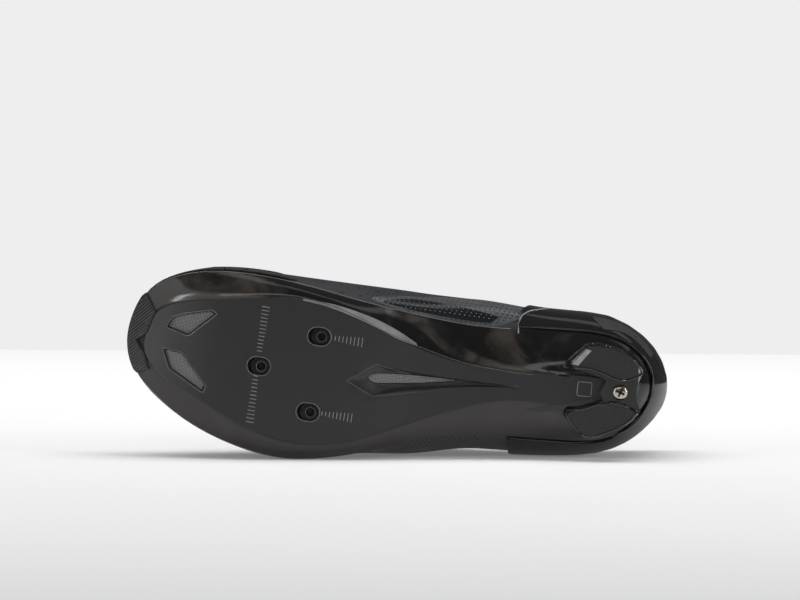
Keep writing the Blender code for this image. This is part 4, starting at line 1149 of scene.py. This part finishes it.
# Heel pad screw: a steel pan head with a cross recess, driven through the pad's bridge into the
# sole.
steel = clouded_finish(
    "screw_steel", 0.22, 500.0, (0.40, 0.35, 0.30), (0.56, 0.51, 0.46), detail=3.0, metallic=1.0
)
screw = new_piece(
    "pad_screw", smooth_mesh(welded("heel_pad_screw"), "pad_screw", 60.0), steel, "steel",
    "heel_pad_screw",
)
subdivided(screw, 2)
RECESS_REACH, RECESS_WIDTH, RECESS_DEPTH, CROSS_TURN = 0.0048, 0.0011, 0.0030, 0.35
head = to_shoe @ middle_of("heel_pad_screw")
head.z = min((to_shoe @ v.co).z for v in screw.data.vertices)
cross_bm = bmesh.new()
for turn in (CROSS_TURN, CROSS_TURN + math.pi / 2):
    bmesh.ops.create_cube(
        cross_bm,
        size=1.0,
        matrix=Matrix.Rotation(turn, 4, "Z")
        @ Matrix.Diagonal((RECESS_REACH, RECESS_WIDTH, RECESS_DEPTH, 1.0)),
    )
bmesh.ops.transform(
    cross_bm,
    matrix=shoe @ Matrix.Translation(head),
    verts=cross_bm.verts,
)
cutter = bpy.data.objects.new("cross_cutter", mesh_of(cross_bm, "cross_cutter"))
bpy.context.scene.collection.objects.link(cutter)
cut = screw.modifiers.new("cross_recess", "BOOLEAN")
cut.operation, cut.object, cut.use_self = "DIFFERENCE", cutter, True
bpy.context.view_layer.update()
graph = bpy.context.evaluated_depsgraph_get()
cut_mesh = bpy.data.meshes.new_from_object(screw.evaluated_get(graph))
screw.modifiers.clear()
screw.data = cut_mesh
bpy.data.objects.remove(cutter)
# Painted shade: a cross of dark steel laid at the bottom of the cross recess.
RECESS_SHADE_AT, RECESS_SHADE_THICKNESS = 0.0009, 0.0003
recess_shade_bm = bmesh.new()
for turn in (CROSS_TURN, CROSS_TURN + math.pi / 2):
    bmesh.ops.create_cube(
        recess_shade_bm,
        size=1.0,
        matrix=shoe
        @ Matrix.Translation(head + Vector((0, 0, RECESS_SHADE_AT)))
        @ Matrix.Rotation(turn, 4, "Z")
        @ Matrix.Diagonal((RECESS_REACH * 0.98, RECESS_WIDTH * 1.02, RECESS_SHADE_THICKNESS, 1.0)),
    )
bmesh.ops.recalc_face_normals(recess_shade_bm, faces=recess_shade_bm.faces)
new_piece("screw_recess", mesh_of(recess_shade_bm, "screw_recess"), dark_steel, "steel")

# Insole, tongue and straps: a knit-faced footbed under the foot, a padded tongue in the throat
# and two coated webbing straps, sewn along both edges, with punched holes ahead of them.
lining, tree, surface = new_material("knit_lining", 0.85)
place = add_node(tree, "TexCoord").outputs["Object"]
knit = add_node(tree, "TexVoronoi", {"Vector": place, "Scale": 900.0})
tree.links.new(
    mixed(tree, knit.outputs["Distance"], (0.020, 0.020, 0.021), (0.060, 0.060, 0.062)),
    surface.inputs["Base Color"],
)
embossed(tree, surface, knit.outputs["Distance"], 0.5, 0.0002)
for node, name in (("insole", "footbed"), ("tongue", "padded_tongue")):
    soft = new_piece(name, smooth_mesh(welded(node), name, 50.0), lining, "lining", node)
    subdivided(soft, 2)
webbing, tree, surface = new_material("coated_webbing", 0.5)
place = in_shoe(tree)
rib = add_node(tree, "TexWave", {"Vector": place, "Scale": 300.0}, bands_direction="Y")
tree.links.new(
    mixed(tree, rib.outputs["Fac"], (0.022, 0.022, 0.024), (0.045, 0.045, 0.048)),
    surface.inputs["Base Color"],
)
embossed(tree, surface, rib.outputs["Fac"], 0.4, 0.0002)
for node in ("strap_front", "strap_rear"):
    name = node.replace("strap_", "strap_band_")
    strap = new_piece(name, smooth_mesh(welded(node), name, 40.0), webbing, "webbing", node)
    subdivided(strap, 1)
thread = clouded_finish(
    "sewing_thread", 0.7, 2500.0, (0.050, 0.050, 0.053), (0.13, 0.13, 0.135)
)
STITCH_INSET, STITCH_PITCH, STITCH_LENGTH = 0.0024, 0.0030, 0.0019
stitches = []
for node in ("strap_front", "strap_rear"):
    band_tree = final_tree(bpy.data.objects[node.replace("strap_", "strap_band_")])
    verts = [to_shoe @ v.co for v in frame["nodes"][node].data.vertices]
    low_x, high_x = min(v.x for v in verts), max(v.x for v in verts)
    low_y, high_y = min(v.y for v in verts), max(v.y for v in verts)
    middle_x = (low_x + high_x) / 2
    for k in range(int((high_y - low_y) / STITCH_PITCH)):
        y = low_y + k * STITCH_PITCH
        hits = []
        for j in range(-28, 29):
            start = shoe @ Vector((middle_x + j * 0.0005, y, 0.25))
            hits.append(band_tree.ray_cast(start, -inward)[:2])
        met = [h for h in hits if h[0] is not None]
        if len(met) < 20:
            continue
        inset = round(STITCH_INSET / 0.0005)
        for point, normal in (met[inset], met[-1 - inset]):
            way = medial_way - normal * medial_way.dot(normal)
            way.normalize()
            ends = [point + normal * 0.0001 + way * STITCH_LENGTH * t for t in (-0.5, 0, 0.5)]
            stitches.append(bead(ends, 0.00022, sides=0))
new_piece("strap_stitches", joined("strap_stitches", stitches), thread, "webbing")
# Vamp holes: dark discs of painted shade in place of the openings.
vamp_bm = bmesh.new()
for i in range(9):
    for j in range(-4, 5):
        start = shoe @ Vector((0.196 + i * 0.0052, j * 0.0062 + (i % 2) * 0.0031, 0.2))
        point, normal = upper_tree.ray_cast(start, -inward)[:2]
        if point is not None and (to_shoe @ point).z > 0.02:
            turn = normal.to_track_quat("Z", "Y").to_matrix().to_4x4()
            bmesh.ops.create_circle(
                vamp_bm, cap_ends=True, segments=8, radius=0.0006,
                matrix=Matrix.Translation(point + normal * 0.00008) @ turn,
            )
new_piece("vamp_holes", mesh_of(vamp_bm, "vamp_holes"), hole_shade_paint, "microfibre")
